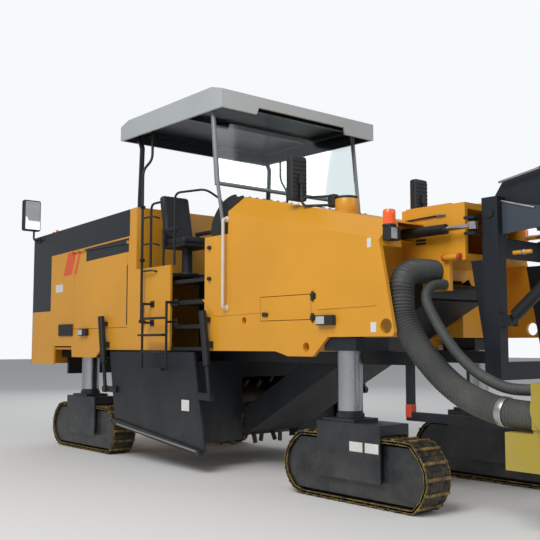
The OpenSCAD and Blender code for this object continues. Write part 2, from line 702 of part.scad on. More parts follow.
// Primary conveyor: a flat trough that rises from the drum to the front body's nose
pc_low = [house_front + 30, 560];
pc_high = [430, 2060];
pc_angle = atan2(pc_high[1] - pc_low[1], pc_high[0] - pc_low[0]);
pc_l = norm(pc_high - pc_low);
pc_half = 430;
module primary_conveyor() {
    color(black) at_origin() translate([pc_low[0], 0, pc_low[1]]) rotate([0, -pc_angle, 0]) {
        both() box([0, pc_half - 20, -150], [pc_l, pc_half, 150]);
        box([0, -pc_half + 21, -60], [pc_l, pc_half - 21, 20]);
        box([0, -pc_half + 10, -150], [pc_l, pc_half - 10, -130]);
        for (k = [0.1:0.2:0.9]) box([k * pc_l, -pc_half + 10, -131], [k * pc_l + 60, pc_half - 10, -59]);
        y_cyl(pc_l - 40, -20, 200, -pc_half + 10, pc_half - 10);
        y_cyl(60, -20, 200, -pc_half + 10, pc_half - 10);
        // Hangers that hold the trough's sides to the body
        both() for (k = [0.62, 0.9]) box([k * pc_l, pc_half - 1, -40],
            [k * pc_l + 80, tunnel_half - eps, 40]);
        both() box([-40, pc_half - 20, -150], [1, pc_half, 60]);
    }
}

// Front head: the yellow bracket on the nose that holds the slewing pin
head_end_x = slew_x + 20;
head_half = 500;
head_low = 2300;
head_top = 2850;
plate_head_t = 60;
slew_pin_d = 150;
slew_base_x = 300;
slew_base_y = 600;
slew_eye_x = slew_x + 180;
slew_barrel_d = 100;
slew_rod_d = 50;
slew_half_stroke = 260;
slew_barrel_l = 575;
slew_pin_small = 44;
module front_head() {
    back = recess_x + seat;
    color(yellow) at_origin() difference() {
        union() {
            both() slab([[back, head_low], [head_end_x, head_low], [head_end_x, head_top - 10],
                [back, head_top - 10]], head_half - 40, head_half);
            box([back, -head_half, head_top - plate_head_t], [head_end_x, head_half, head_top]);
            box([back, -head_half, head_low], [head_end_x, head_half, head_low + plate_head_t]);
            // Round ends of both plates, round the pin
            for (z = [head_low, head_top - plate_head_t]) translate([slew_x, 0, z])
                cylinder(h = plate_head_t, d = slew_pin_d + 110);
            box([back, -head_half, head_low - 120], [back + 40, head_half, head_top - 1]);
            // The duct that the dust hose leaves from
            box([dust_start[0] - 140, -head_half, small_start[2] - 60],
                [small_start[0] + 60, -head_half + 45, head_low + 20]);
            translate([slew_x - 130, 0, head_top - 1]) cylinder(h = 26, d = 420);
            box([back, -head_half + 60, head_top - 1], [slew_x - 200, head_half - 60, head_top + 25]);
            // Ears and pins for the slewing barrels
            both() for (z = [slew_lug_z - 80, slew_lug_z + 60])
                box([slew_base_x - 42, head_half - 1, z], [slew_base_x + 50, slew_base_y + 50, z + 20]);
            both() translate([slew_base_x, slew_base_y, slew_lug_z - 79])
                cylinder(h = 158, d = slew_pin_small);
        }
        translate([slew_x, 0, 2000]) cylinder(h = 1200, r = slew_pin_d / 2 + run);
        translate([slew_x, 0, head_top]) cylinder(h = 100, d = 210 + 2 * gap);
        // The front is open for the console's neck
        box([slew_x - 280, -head_half + 40, head_low + plate_head_t],
            [head_end_x + 10, head_half - 40, head_top - plate_head_t]);
    }
}

dust_start = [640, -head_half - seat, 2205];
small_start = [770, -head_half - seat, 2075];
fan_x = 2100;
fan_l = 400;
fan_arm_z = 775;
fan_low_top = 800;
// Hoses, ribbed, held between the head's underside and the fan
function bez(p, t) = let (n = len(p) - 3, i = min(floor(t * n), n - 1), u = t * n - i)
    ((2 * p[i + 1]) + (p[i + 2] - p[i]) * u + (2 * p[i] - 5 * p[i + 1] + 4 * p[i + 2] - p[i + 3]) * u * u
    + (3 * p[i + 1] - p[i] - 3 * p[i + 2] + p[i + 3]) * u * u * u) / 2;
module hose(route, d, rings) {
    sides = 12;
    ends = concat([2 * route[0] - route[1]], route, [2 * route[len(route) - 1] - route[len(route) - 2]]);
    c = [for (i = [0:rings]) bez(ends, i / rings)];
    n = len(route);
    dir = [for (i = [0:rings]) i == 0 ? unit(route[1] - route[0]) : i == rings ? unit(route[n - 1] - route[n - 2])
        : unit(c[i + 1] - c[i - 1])];
    pts = [for (i = [0:rings]) let (s = unit(cross(dir[i], [0.1, 1, 0.1])), w = cross(s, dir[i]))
        for (k = [0:sides - 1]) c[i] + d / 2 * (cos(k * 360 / sides) * s + sin(k * 360 / sides) * w)];
    polyhedron(pts, tube_faces(rings + 1, sides));
}
dust_route = [dust_start, [640, -650, 2205], [636, -830, 2190], [650, -960, 2110], [660, -1000, 1960],
    [700, -1010, 1725],
    [850, -1010, 1490], [1090, -1010, 1250], [1330, -1010, 1085], [1560, -1010, 995],
        [1760, -1010, 950], [2000, -1010, 930],
    [fan_x, -1010, 930]];
small_route = [small_start, [770, -560, 2075], [780, -700, 2050], [805, -810, 1990], [845, -870, 1920],
    [895, -900, 1845], [1021, -900, 1647], [1183, -900, 1449], [1362, -900, 1294], [1545, -900, 1195],
    [1741, -900, 1135], [2000, -900, 1130], [fan_x, -900, 1130]];

module dust_hose() { color(black) at_origin() hose(dust_route, dust_d, 34); }
module small_hose() { color(black) at_origin() hose(small_route, small_d, 40); }
module duct_fan() {
    color(yellow) at_origin() difference() {
        union() {
            box([fan_x + seat, -1150, fan_arm_z + 61], [fan_x + fan_l, -760, 1200]);
            y_cyl(fan_x + fan_l / 2, 1000, fan_l - 40, -1200, -1149);
            box([fan_x + 100, -1000, fan_arm_z + 60 + seat], [fan_x + 180, -860, fan_arm_z + 62]);
            // The silencer's casing under the hoses
            box([fan_x - 260, -1130, 500], [fan_x + 90, -780, fan_low_top]);
            box([fan_x + seat, -1130, fan_low_top - 1], [fan_x + 90, -780, fan_arm_z + 62]);
        }
    }
}

// Mirrors on their arms, front right and left, and at the tail
module mirror_head(x, y, z, w, h, face) {
    difference() {
        box([x - 55, y - w / 2, z], [x + 55, y + w / 2, z + h]);
        box([x + (face > 0 ? 40 : -60), y - w / 2 + 18, z + 18],
            [x + (face > 0 ? 60 : -40), y + w / 2 - 18, z + h - 18]);
    }
}
mirror_tip = 1490;
drum_cap_x = -330;
module mirrors() {
    color(black) at_origin() both() {
        mirror_head(-800, 1010, 3040, 230, 490, -1);
        rail([[-745, 1010, 3200], [-640, 1010, 3200], [-640, 1010, 3100], [drum_cap_x - 60, 760, 3100],
            [drum_cap_x - 60, 760, 3021]], 36);
        // The arm's foot: a round cap on the tank's top
        difference() {
            translate([drum_cap_x, 720, 2700]) cylinder(h = 360, d = 250);
            slab([[crest_x, 2500], [nose_top_x, 2500], [nose_top_x, nose_top_z + seat],
                [crest_x, crest_top + seat]], 0, half_w);
        }
        mirror_head(-7010 + 160, mirror_tip - 145, 3320, 290, 500, 1);
        rail([[-6860, mirror_tip - 200, 3321], [-6860, mirror_tip - 200, 3180],
            [-6860, half_w + seat, 3180]], 34);
    }
}
lamp_z = [2470, 2600];
module lamps() {
    color([0.85, 0.35, 0.2]) at_origin() {
        both() {
            // Beacon on the lamp box at the nose
            slab([[nose_front(lamp_z[0]) + seat, lamp_z[0]], [nose_front(lamp_z[0]) + 105, lamp_z[0]],
                [nose_front(lamp_z[0]) + 105, lamp_z[1]], [nose_front(lamp_z[1]) + seat, lamp_z[1]]],
                half_w - 190, half_w - 45);
            translate([nose_front(lamp_z[1]) + 62, half_w - 107, lamp_z[1] - 1]) cylinder(h = 170, d = 120);
            // Side working lamp
            box([-250, half_w + seat, 1690], [-10, half_w + 70, 1790]);
            // Beacon at the tail
            translate([tail_x + 150, 900, roof_z(tail_x + 210)]) cylinder(h = 120, d = 110);
            box([-5330, half_w + seat, 1640], [-5100, half_w + 45, 1720]);
        }
    }
}

// Side plates, their lifting cylinders lean rearwards at the top
plate_y = half_w + 12;
cyl_y = half_w + 75;
barrel_d = 90;
rod_d = 50;
lean = tan(rod_lean);
rear_rod_x = -4450;
front_rod_x = -2010;
plate_back = -4230;
plate_front = plate_back + plate_l;
barrel_l = 640;
plate_lift = 300;
// Rod's X at a height, for the rod whose eye is at x_eye
function rod_x(x_eye, z) = x_eye - (z - rod_eye_z) * lean;
module leaning(x_eye, z_low, l, d) {
    translate([rod_x(x_eye, z_low), cyl_y, z_low]) rotate([0, -rod_lean, 0]) cylinder(h = l, d = d);
}
barrel_z = rod_eye_z + plate_lift + 60;
module plate_cylinders() {
    color(black) at_origin() both() for (x = [rear_rod_x, front_rod_x]) {
        difference() {
            union() {
                leaning(x, barrel_z, barrel_l, barrel_d);
                box([rod_x(x, 1500) - 60, half_w + seat, 1460], [rod_x(x, 1500) + 60, cyl_y, 1540]);
                box([rod_x(x, 1800) - 50, half_w + seat, 1760], [rod_x(x, 1800) + 50, cyl_y, 1820]);
            }
            leaning(x, barrel_z - 10, barrel_l - 20, rod_d + 2 * run);
        }
    }
}
module side_plate(side) {
    color(dark) at_origin() on_side(side) {
        slab([[plate_back, plate_z + 140], [plate_front - 60, plate_z - 95], [plate_front, plate_z - 80],
            [plate_front - lean * plate_h - 90, plate_z + plate_h + 170],
                [plate_back - lean * plate_h - 30, plate_z + plate_h + 170]],
            plate_y, plate_y + plate_t);
        // The skid along the lower edge
        slab([[plate_back, plate_z + 105], [plate_front - 60, plate_z - 130],
            [plate_front - 60, plate_z - 60], [plate_back, plate_z + 175]],
            plate_y, plate_y + plate_t + 40);
        for (x = [rear_rod_x, front_rod_x]) {
            leaning(x, rod_eye_z, (barrel_z - rod_eye_z) / cos(rod_lean) + barrel_l - 40 - plate_lift,
                rod_d);
            translate([x, cyl_y + 30, rod_eye_z]) rotate([90, 0, 0]) cylinder(h = 60, d = 90);
        }
        box([rear_rod_x - 20, plate_y + plate_t - 1, rod_eye_z - 40],
            [plate_back + 60, cyl_y, rod_eye_z + 40]);
        box([plate_front - 160, plate_y + plate_t - 1, rod_eye_z - 40],
            [front_rod_x + 20, cyl_y, rod_eye_z + 40]);
    }
}

// Slewing console: pin, neck and a portal that carries the conveyor
portal_in = 420;
portal_out = 540;
portal_low = 1180;
pivot_d = 90;
lift_foot_x = portal_x + portal_l + 60;
lift_foot_z = 1713;
lift_y = (portal_in + portal_out) / 2 - 5;
neck_z = 2490;
neck_half = 120;
slew_lug_z = 2595;
portal_top = 2850;
module slew_console() {
    color(dark) at_origin() difference() {
        union() {
            translate([slew_x, 0, head_low - 60]) cylinder(h = head_top - head_low + 120, d = slew_pin_d);
            translate([slew_x, 0, head_top + gap]) cylinder(h = 50, d = 210);
            translate([slew_x, 0, head_low + plate_head_t + gap])
                cylinder(h = head_top - head_low - 2 * plate_head_t - 2 * gap, d = 240);
            box([slew_x, -neck_half, head_low + plate_head_t + gap], [portal_x + 1, neck_half, neck_z]);
            both() box([portal_x, portal_in, portal_low], [portal_x + portal_l, portal_out, portal_top]);
            box([portal_x, -portal_in - 1, head_low + 10], [portal_x + 60, portal_in + 1, neck_z]);
            box([portal_x, -portal_in - 1, portal_low],
                [portal_x + portal_l, portal_in + 1, portal_low + 160]);
            both() {
                // Ears for the lift barrels' feet
                for (y = [lift_y - 65, lift_y + 35])
                    box([portal_x + portal_l - 1, y, lift_foot_z - 50],
                        [lift_foot_x + 45, y + 30, lift_foot_z + 50]);
                // Lugs for the slewing rods' eyes
                for (z = [slew_lug_z - 85, slew_lug_z + 60]) translate([0, 0, z]) linear_extrude(25)
                    polygon([[slew_eye_x - 60, slew_base_y - 50], [slew_eye_x - 60, slew_base_y + 55],
                        [portal_x + 1, slew_base_y + 55], [portal_x + 1, portal_out - 60]]);
            }
        }
        both() y_cyl(pivot_x, pivot_z, pivot_d + 2 * run, portal_in - 30, portal_out + 30);
        both() y_cyl(lift_foot_x, lift_foot_z, 60 + 2 * run, lift_y - 80, lift_y + 80);
    }
}

// Cylinders: the barrels' hinges are real, the rods' eyes are open to drift
lift_eye_x = 1430;
lift_eye_z = -230;
lift_eye = [pivot_x + lift_eye_x * cos(boom_rise) - lift_eye_z * sin(boom_rise), 0,
    pivot_z + lift_eye_x * sin(boom_rise) + lift_eye_z * cos(boom_rise)];
lift_foot = [lift_foot_x, 0, lift_foot_z];
lift_dir = unit(lift_eye - lift_foot);
lift_span = norm(lift_eye - lift_foot);
lift_barrel_d = 110;
lift_rod_d = 60;
lift_barrel_l = lift_span - 330;
module lift_barrels() {
    tilt = atan2(lift_dir[0], lift_dir[2]);
    color(black) at_origin() both() translate([lift_foot[0], lift_y, lift_foot[2]]) difference() {
        union() {
            rotate([90, 0, 0]) cylinder(h = 60, d = 100, center = true);
            rotate([90, 0, 0]) cylinder(h = 124, d = 60, center = true);
            rotate([0, tilt, 0]) translate([0, 0, 30]) cylinder(h = 70, d = 60);
            rotate([0, tilt, 0]) translate([0, 0, 80]) cylinder(h = lift_barrel_l - 80, d = lift_barrel_d);
        }
        rotate([0, tilt, 0]) translate([0, 0, 120]) cylinder(h = lift_barrel_l, d = lift_rod_d + 2 * run);
    }
}
module lift_rods() {
    tilt = atan2(lift_dir[0], lift_dir[2]);
    color("silver") at_origin() both() translate([lift_foot[0], lift_y, lift_foot[2]])
        rotate([0, tilt, 0]) {
        translate([0, 0, 420]) cylinder(h = lift_span - 420 - 20, d = lift_rod_d);
        translate([0, 0, lift_span]) rotate([90, 0, 0]) cylinder(h = 50, d = 100, center = true);
    }
}
module slew_barrel(side) {
    color(black) at_origin() on_side(side) translate([slew_base_x, slew_base_y, slew_lug_z]) difference() {
        union() {
            cylinder(h = 90, d = 80, center = true);
            rotate([0, 90, 0]) translate([0, 0, 36]) cylinder(h = slew_barrel_l - 36, d = slew_barrel_d);
        }
        cylinder(h = 200, d = slew_pin_small + 2 * run, center = true);
        rotate([0, 90, 0]) translate([0, 0, 40]) cylinder(h = slew_barrel_l, d = slew_rod_d + 2 * run);
    }
}
module slew_rod(side) {
    reach = slew_eye_x - slew_base_x;
    color("silver") at_origin() on_side(side) translate([slew_base_x, slew_base_y, slew_lug_z]) {
        rotate([0, 90, 0]) translate([0, 0, 42 + slew_half_stroke])
            cylinder(h = reach - 52 - slew_half_stroke, d = slew_rod_d);
        translate([reach, 0, 0]) cylinder(h = 70, d = 90, center = true);
    }
}

// Discharge conveyor, modelled level and then tilted to its rise
boom_half = boom_w / 2;
beam_low = -160;
beam_high = beam_low + boom_h + 130;
boot = 70;
head_r = head_d / 2;
module tilted() {
    at_origin() translate([pivot_x, 0, pivot_z]) rotate([0, -boom_rise, 0]) children();
}
module conveyor_frame() {
    color(dark) tilted() {
        difference() {
            union() {
                both() {
                    slab([[-boot, -60], [-boot + 40, beam_low], [boom_l - 300, beam_low],
                        [boom_l + 40, -60], [boom_l + 40, 120],
                        [boom_l - 200, beam_high - 60], [boom_l - 900, beam_high], [120, beam_high],
                            [-boot, 100]],
                        boom_half - 30, boom_half);
                    y_cyl(0, 0, pivot_d, boom_half - 1, portal_out + 12);
                }
                for (x = [200:700:boom_l - 400])
                    box([x, -boom_half + 29, -70], [x + 60, boom_half - 29, -10]);
                for (x = [400:1400:boom_l - 900])
                    box([x, -boom_half + 29, beam_high - 50], [x + 50, boom_half - 29, beam_high]);
                // Ears for the lift rods' eyes
                both() box([lift_eye_x - 60, boom_half - 31, lift_eye_z - 60],
                    [lift_eye_x + 60, boom_half, beam_low + 1]);
                both() box([lift_eye_x - 60, boom_half - 1, lift_eye_z - 60],
                    [lift_eye_x + 60, lift_y - 25 - gap, lift_eye_z + 60]);
            }
        }
    }
    // The cover, a half-round roof of sheet over the belt
    color(black) tilted() difference() {
        translate([500, 0, beam_high - 140]) rotate([0, 90, 0])
            cylinder(h = boom_l - 1300, r = boom_half - 31);
        translate([400, 0, beam_high - 140]) rotate([0, 90, 0]) cylinder(h = boom_l, r = boom_half - 43);
        box([0, -600, -900], [boom_l + 100, 600, beam_high]);
    }
}
module conveyor_belt() {
    w = belt_w / 2 - 40;
    tail_cx = 90;
    color(black) tilted() {
        y_cyl(boom_l - head_r + 60, 0, 2 * head_r, -w, w);
        y_cyl(tail_cx, 0, 220, -w, w);
        box([tail_cx, -w, 96], [boom_l - head_r + 60, w, 110]);
        box([tail_cx, -w, -110], [boom_l - head_r + 60, w, -96]);
    }
}

main_frame();
drum_housing();
front_body();
console_cover();
rear_body();
rear_grille();
engine_block();
platform();
seats();
consoles();
ladders();
handrails();
canopy_roof();
canopy_frame();
windshield();
primary_conveyor();
front_head();
dust_hose();
small_hose();
duct_fan();
mirrors();
lamps();
plate_cylinders();
milling_drum();
leg(1, -1);  // leg_fr
leg(1, 1);  // leg_fl
leg(-1, -1);  // leg_rr
leg(-1, 1);  // leg_rl
track(1, -1);  // track_fr
track(1, 1);  // track_fl
track(-1, -1);  // track_rr
track(-1, 1);  // track_rl
slew_console();
conveyor_frame();
conveyor_belt();
lift_barrels();
lift_rods();
slew_barrel(-1);  // slew_barrel_r
slew_barrel(1);  // slew_barrel_l
slew_rod(-1);  // slew_rod_r
slew_rod(1);  // slew_rod_l
side_plate(-1);  // side_plate_r
side_plate(1);  // side_plate_l
scraper_gate();
engine_door(-1);  // engine_door_r
engine_door(1);  // engine_door_l
hood_lid();
tool_door(-1);  // tool_door_r
tool_door(1);  // tool_door_l
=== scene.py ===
# %% [markdown]
# A cold planer is a road machine on four tracks. Its construction, sizes and joints come from the imported frame, and
# this script gives it its looks. The frame is loaded first. Nothing made here may stand out of it.

# %% The frame
import json
import math

import bmesh
import bpy
from mathutils import Matrix, Vector


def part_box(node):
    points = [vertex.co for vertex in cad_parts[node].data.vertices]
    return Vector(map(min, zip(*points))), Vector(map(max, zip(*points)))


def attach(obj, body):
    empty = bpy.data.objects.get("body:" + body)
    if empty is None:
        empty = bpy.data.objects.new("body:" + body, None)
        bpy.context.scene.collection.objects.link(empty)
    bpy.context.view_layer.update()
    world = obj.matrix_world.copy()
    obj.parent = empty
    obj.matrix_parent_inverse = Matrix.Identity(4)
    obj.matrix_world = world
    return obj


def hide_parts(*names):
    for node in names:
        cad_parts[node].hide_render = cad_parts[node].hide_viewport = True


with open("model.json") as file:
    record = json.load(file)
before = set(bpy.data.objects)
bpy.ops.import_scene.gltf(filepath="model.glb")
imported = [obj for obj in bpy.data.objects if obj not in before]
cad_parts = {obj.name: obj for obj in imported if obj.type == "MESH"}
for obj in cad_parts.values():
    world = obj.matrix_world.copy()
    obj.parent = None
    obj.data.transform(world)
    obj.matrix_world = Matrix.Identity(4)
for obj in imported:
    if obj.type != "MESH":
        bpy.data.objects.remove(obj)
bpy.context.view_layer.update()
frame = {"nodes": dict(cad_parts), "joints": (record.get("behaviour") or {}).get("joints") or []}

nodes = frame["nodes"]
joints = {joint["name"]: joint for joint in frame["joints"]}

# %% [markdown]
# Places are counted from the front lifting columns, whose steering joint gives their X.
# So one small function turns a distance ahead of the columns into a point of the frame.

# %% Places
LEG_X = joints["front_steer"]["pos_m"][0]
HALF_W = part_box("front_body")[1][1]
TRACK_Y = abs(joints["front_steer"]["pos_m"][1])
SIDES = (-1, 1)


def at(x, y, z):
    """A point given by its distance ahead of the front columns, in metres."""
    return Vector((LEG_X + x, y, z))


print("front columns at X", round(LEG_X, 3), "half width", round(HALF_W, 3))

# %% [markdown]
# The camera stands where the photographer stood: eye height, ahead and to the right of the
# machine, looking back at it with a slightly long lens. Its place is in the same frame.

# %% Camera
EYE = at(5.85, -6.934, 1.495)
YAW = math.radians(50.15)
PITCH = math.radians(5.14)
bpy.ops.object.camera_add(location=EYE, rotation=(math.pi / 2 + PITCH, 0, YAW))
camera = bpy.context.object
camera.name = "camera"
camera.data.lens = 55.67
camera.data.sensor_width = 36
camera.data.clip_end = 200
bpy.context.scene.camera = camera
print("camera at", tuple(round(v, 2) for v in EYE))

# %% [markdown]
# A machine of this size is lit like a product in a large tent: one big soft lamp high on
# the camera's side, a weaker one on the other side, and an even world. The view is
# Standard, so a colour renders about as it is written.

# %% Light
bpy.context.scene.view_settings.view_transform = "Standard"


def soft_lamp(name, place, aim, size, watts):
    """A square area lamp at a place, turned to look at a point."""
    bpy.ops.object.light_add(type="AREA", location=place)
    lamp = bpy.context.object
    lamp.name = name
    lamp.data.shape = "SQUARE"
    lamp.data.size = size
    lamp.data.energy = watts
    lamp.rotation_euler = (aim - Vector(place)).to_track_quat("-Z", "Y").to_euler()
    return lamp


MIDDLE = at(-1.5, 0, 1.8)
soft_lamp("key_lamp", at(3.0, -12.0, 13.0), MIDDLE, 9, 1800)
soft_lamp("fill_lamp", at(14.0, 6.0, 9.0), MIDDLE, 10, 470)
soft_lamp("back_lamp", at(-15.0, 7.0, 10.0), MIDDLE, 10, 470)
world = bpy.data.worlds.new("studio_world")
world.use_nodes = True
world.node_tree.nodes["Background"].inputs["Color"].default_value = (0.9, 0.93, 0.97, 1)
world.node_tree.nodes["Background"].inputs["Strength"].default_value = 0.38
bpy.context.scene.world = world

# %% [markdown]
# The floor is a plain pale plane that isn't part of the machine. Seen by the camera, the world is white, so that the
# floor runs into a pale background with no horizon line. The trick is Light Path: only what a camera or glass sees is
# changed, and the light on the machine stays plain.

# %% Floor and background
bpy.ops.mesh.primitive_plane_add(size=160, location=(0, 0, 0))
floor = bpy.context.object
floor.name = "floor"
floor_finish = bpy.data.materials.new("pale_floor")
floor_finish.use_nodes = True
floor_shader = floor_finish.node_tree.nodes["Principled BSDF"]
floor_shader.inputs["Base Color"].default_value = (0.78, 0.78, 0.77, 1)
floor_shader.inputs["Roughness"].default_value = 0.9
floor.data.materials.append(floor_finish)

tree = world.node_tree
path = tree.nodes.new("ShaderNodeLightPath")
seen = tree.nodes.new("ShaderNodeMath")
seen.operation = "MAXIMUM"
white = tree.nodes.new("ShaderNodeBackground")
white.inputs["Color"].default_value = (0.93, 0.95, 0.97, 1)
white.inputs["Strength"].default_value = 1
choice = tree.nodes.new("ShaderNodeMixShader")
tree.links.new(path.outputs["Is Camera Ray"], seen.inputs[0])
tree.links.new(path.outputs["Is Transmission Ray"], seen.inputs[1])
tree.links.new(seen.outputs[0], choice.inputs[0])
tree.links.new(tree.nodes["Background"].outputs[0], choice.inputs[1])
tree.links.new(white.outputs[0], choice.inputs[2])
tree.links.new(choice.outputs[0], tree.nodes["World Output"].inputs["Surface"])

# %% [markdown]
# Shader maths is easier to read as Python. Value wraps one socket and overloads the
# operators, so that (z - 0.5) * 2 adds its own Math nodes, and Finish is a material whose
# node method adds any other node: its settings first, then its sockets.

# %% Value and Finish
class Value:
    """One output socket of a material, for use in Python expressions."""

    def __init__(self, finish, socket):
        self.finish = finish
        self.socket = socket

    def math(self, operation, *others, clamp=False):
        values = {i: v for i, v in enumerate((self,) + others)}
        return self.finish.node("ShaderNodeMath", values, operation=operation, use_clamp=clamp)

    def flipped(self, operation, other):
        return self.finish.node("ShaderNodeMath", {0: other, 1: self}, operation=operation)

    def __add__(self, other):
        return self.math("ADD", other)

    def __sub__(self, other):
        return self.math("SUBTRACT", other)

    def __mul__(self, other):
        return self.math("MULTIPLY", other)

    def __rsub__(self, other):
        return self.flipped("SUBTRACT", other)

    def __gt__(self, other):
        return self.math("GREATER_THAN", other)

    def __lt__(self, other):
        return self.math("LESS_THAN", other)

    __radd__ = __add__
    __rmul__ = __mul__

    def between(self, low, high):
        """0 at low or under, 1 at high or over, and a straight rise between them."""
        return self.finish.node("ShaderNodeMapRange", {0: self, 1: low, 2: high})


class Finish:
    """A material built round one Principled shader."""

    def __init__(self, name, **sockets):
        self.material = bpy.data.materials.new(name)
        self.material.use_nodes = True
        self.tree = self.material.node_tree
        self.shader = self.tree.nodes["Principled BSDF"]
        self.set(**sockets)
        corner = self.node("ShaderNodeTexCoord", out="Object")
        self.place = corner
        split = self.tree.nodes.new("ShaderNodeSeparateXYZ")
        self.tree.links.new(corner.socket, split.inputs[0])
        self.x, self.y, self.z = (Value(self, out) for out in split.outputs)

    def put(self, socket, value):
        if isinstance(value, Value):
            self.tree.links.new(value.socket, socket)
        elif isinstance(value, tuple) and len(value) == 3 and socket.type == "RGBA":
            socket.default_value = (*value, 1)
        else:
            socket.default_value = value

    def node(self, kind, values=None, out=0, **settings):
        node = self.tree.nodes.new(kind)
        for name, value in settings.items():
            setattr(node, name, value)
        for key, value in (values or {}).items():
            self.put(node.inputs[key], value)
        return Value(self, node.outputs[out])

    def set(self, **sockets):
        for name, value in sockets.items():
            self.put(self.shader.inputs[name.replace("_", " ")], value)

    def mix(self, share, first, second):
        return self.node("ShaderNodeMix", {0: share, 6: first, 7: second}, out=2, data_type="RGBA")

    def noise(self, scale, detail=3, rough=0.55, place=None):
        values = {"Vector": place or self.place, "Scale": scale, "Detail": detail, "Roughness": rough}
        return self.node("ShaderNodeTexNoise", values, out="Fac")

    def bump(self, height, depth, strength=1.0):
        bump = {"Height": height, "Distance": depth, "Strength": strength}
        self.set(Normal=self.node("ShaderNodeBump", bump))


def shade(colour, factor):
    """A colour made lighter or darker."""
    return tuple(min(1.0, c * factor) for c in colour)


print("shader helpers ready")

# %% [markdown]
# Sheet steel is sprayed, so its paint has a slight orange peel, a broad unevenness and a
# little road dust low down. One function makes every such finish from its colour, and
# dust_top says how high the dust reaches.

# %% Paint
DUST = (0.42, 0.38, 0.31)


def dusty(finish, colour, dust_top, amount):
    """The colour under dust that thins out towards dust_top."""
    patches = finish.noise(2.6, 6, 0.7).between(0.35, 0.75)
    low = finish.z.between(dust_top, 0.1)
    return finish.mix(patches * low * amount, colour, DUST)


def paint(name, colour, roughness=0.38, dust_top=1.2, amount=0.5, coat=0.25):
    finish = Finish(name, Coat_Weight=coat, Coat_Roughness=0.2)
    broad = finish.noise(0.9, 3)
    tone = finish.mix(broad.between(0.3, 0.7), shade(colour, 0.93), shade(colour, 1.05))
    finish.set(Base_Color=dusty(finish, tone, dust_top, amount))
    smear = finish.noise(5, 5)
    finish.set(Roughness=smear * 0.16 + (roughness - 0.08))
    finish.bump(finish.noise(420, 2), 0.0006, 0.5)
    return finish


YELLOW = (0.76, 0.345, 0.022)
NAVY = (0.007, 0.011, 0.017)
BLACK = (0.009, 0.010, 0.012)
yellow_paint = paint("yellow_paint", YELLOW, 0.36, 1.0, 0.25, 0.3)
navy_paint = paint("navy_paint", NAVY, 0.48, 1.2, 0.12, 0.05)
black_paint = paint("black_paint", BLACK, 0.48, 1.2, 0.15, 0.05)
olive_paint = paint("olive_paint", (0.42, 0.31, 0.02), 0.5, 1.4, 0.4, 0.05)
panel_grey = paint("panel_grey", (0.05, 0.062, 0.08), 0.42, 1.2, 0.12, 0.1)
hood_blue = paint("hood_paint", (0.36, 0.42, 0.56), 0.3, 1.0, 0.2, 0.4)
print("paints", len(bpy.data.materials))

# %% [markdown]
# The other finishes: ground and hard-chromed rods, worn steel, cast parts, rubber, matt
# plastic, vinyl, glass and lamp lenses. Each varies a little over its surface, as paint does.

# %% Metals, rubber, plastic and glass
def metal(name, colour, roughness, streak, stretch=(1, 1, 12)):
    """Bare metal with fine turning or wear marks along stretch."""
    finish = Finish(name, Metallic=1.0)
    mapped = finish.node("ShaderNodeMapping", {"Vector": finish.place, "Scale": stretch})
    lines = finish.noise(9, 5, 0.6, mapped)
    finish.set(Base_Color=finish.mix(lines, shade(colour, 1 - streak), colour))
    finish.set(Roughness=lines * 0.15 + roughness)
    finish.bump(lines, 0.0004, 0.3)
    return finish


def matt(name, colour, roughness, grain_scale, grain_depth, dust_top=1.0, amount=0.3):
    """Rubber, plastic or vinyl with a grain."""
    finish = Finish(name)
    tone = finish.mix(finish.noise(3, 4), shade(colour, 0.8), shade(colour, 1.25))
    finish.set(Base_Color=dusty(finish, tone, dust_top, amount))
    finish.set(Roughness=finish.noise(14, 3) * 0.15 + roughness)
    finish.bump(finish.noise(grain_scale, 2), grain_depth, 0.6)
    return finish


chrome = metal("rod_chrome", (0.78, 0.79, 0.8), 0.08, 0.08)
bright_steel = metal("bright_steel", (0.6, 0.59, 0.56), 0.3, 0.3)
worn_steel = metal("worn_steel", (0.3, 0.25, 0.19), 0.45, 0.5, (3, 3, 3))
zinc = metal("zinc_fittings", (0.5, 0.47, 0.38), 0.35, 0.35, (4, 4, 4))
cast_grey = matt("cast_grey", (0.16, 0.16, 0.155), 0.6, 180, 0.002)
hose_rubber = matt("hose_rubber", (0.055, 0.06, 0.058), 0.5, 300, 0.0008, 2.0, 0.35)
belt_rubber = matt("belt_rubber", (0.02, 0.02, 0.02), 0.7, 120, 0.002)
black_plastic = matt("black_plastic", (0.018, 0.019, 0.021), 0.48, 500, 0.0006)
seat_vinyl = matt("seat_vinyl", (0.02, 0.02, 0.023), 0.5, 260, 0.0012)
label_white = matt("label_white", (0.72, 0.72, 0.7), 0.45, 300, 0.0003)
red_paint = matt("red_paint", (0.62, 0.075, 0.03), 0.4, 300, 0.0006)
grab_white = matt("grab_white", (0.68, 0.64, 0.55), 0.35, 300, 0.0004)

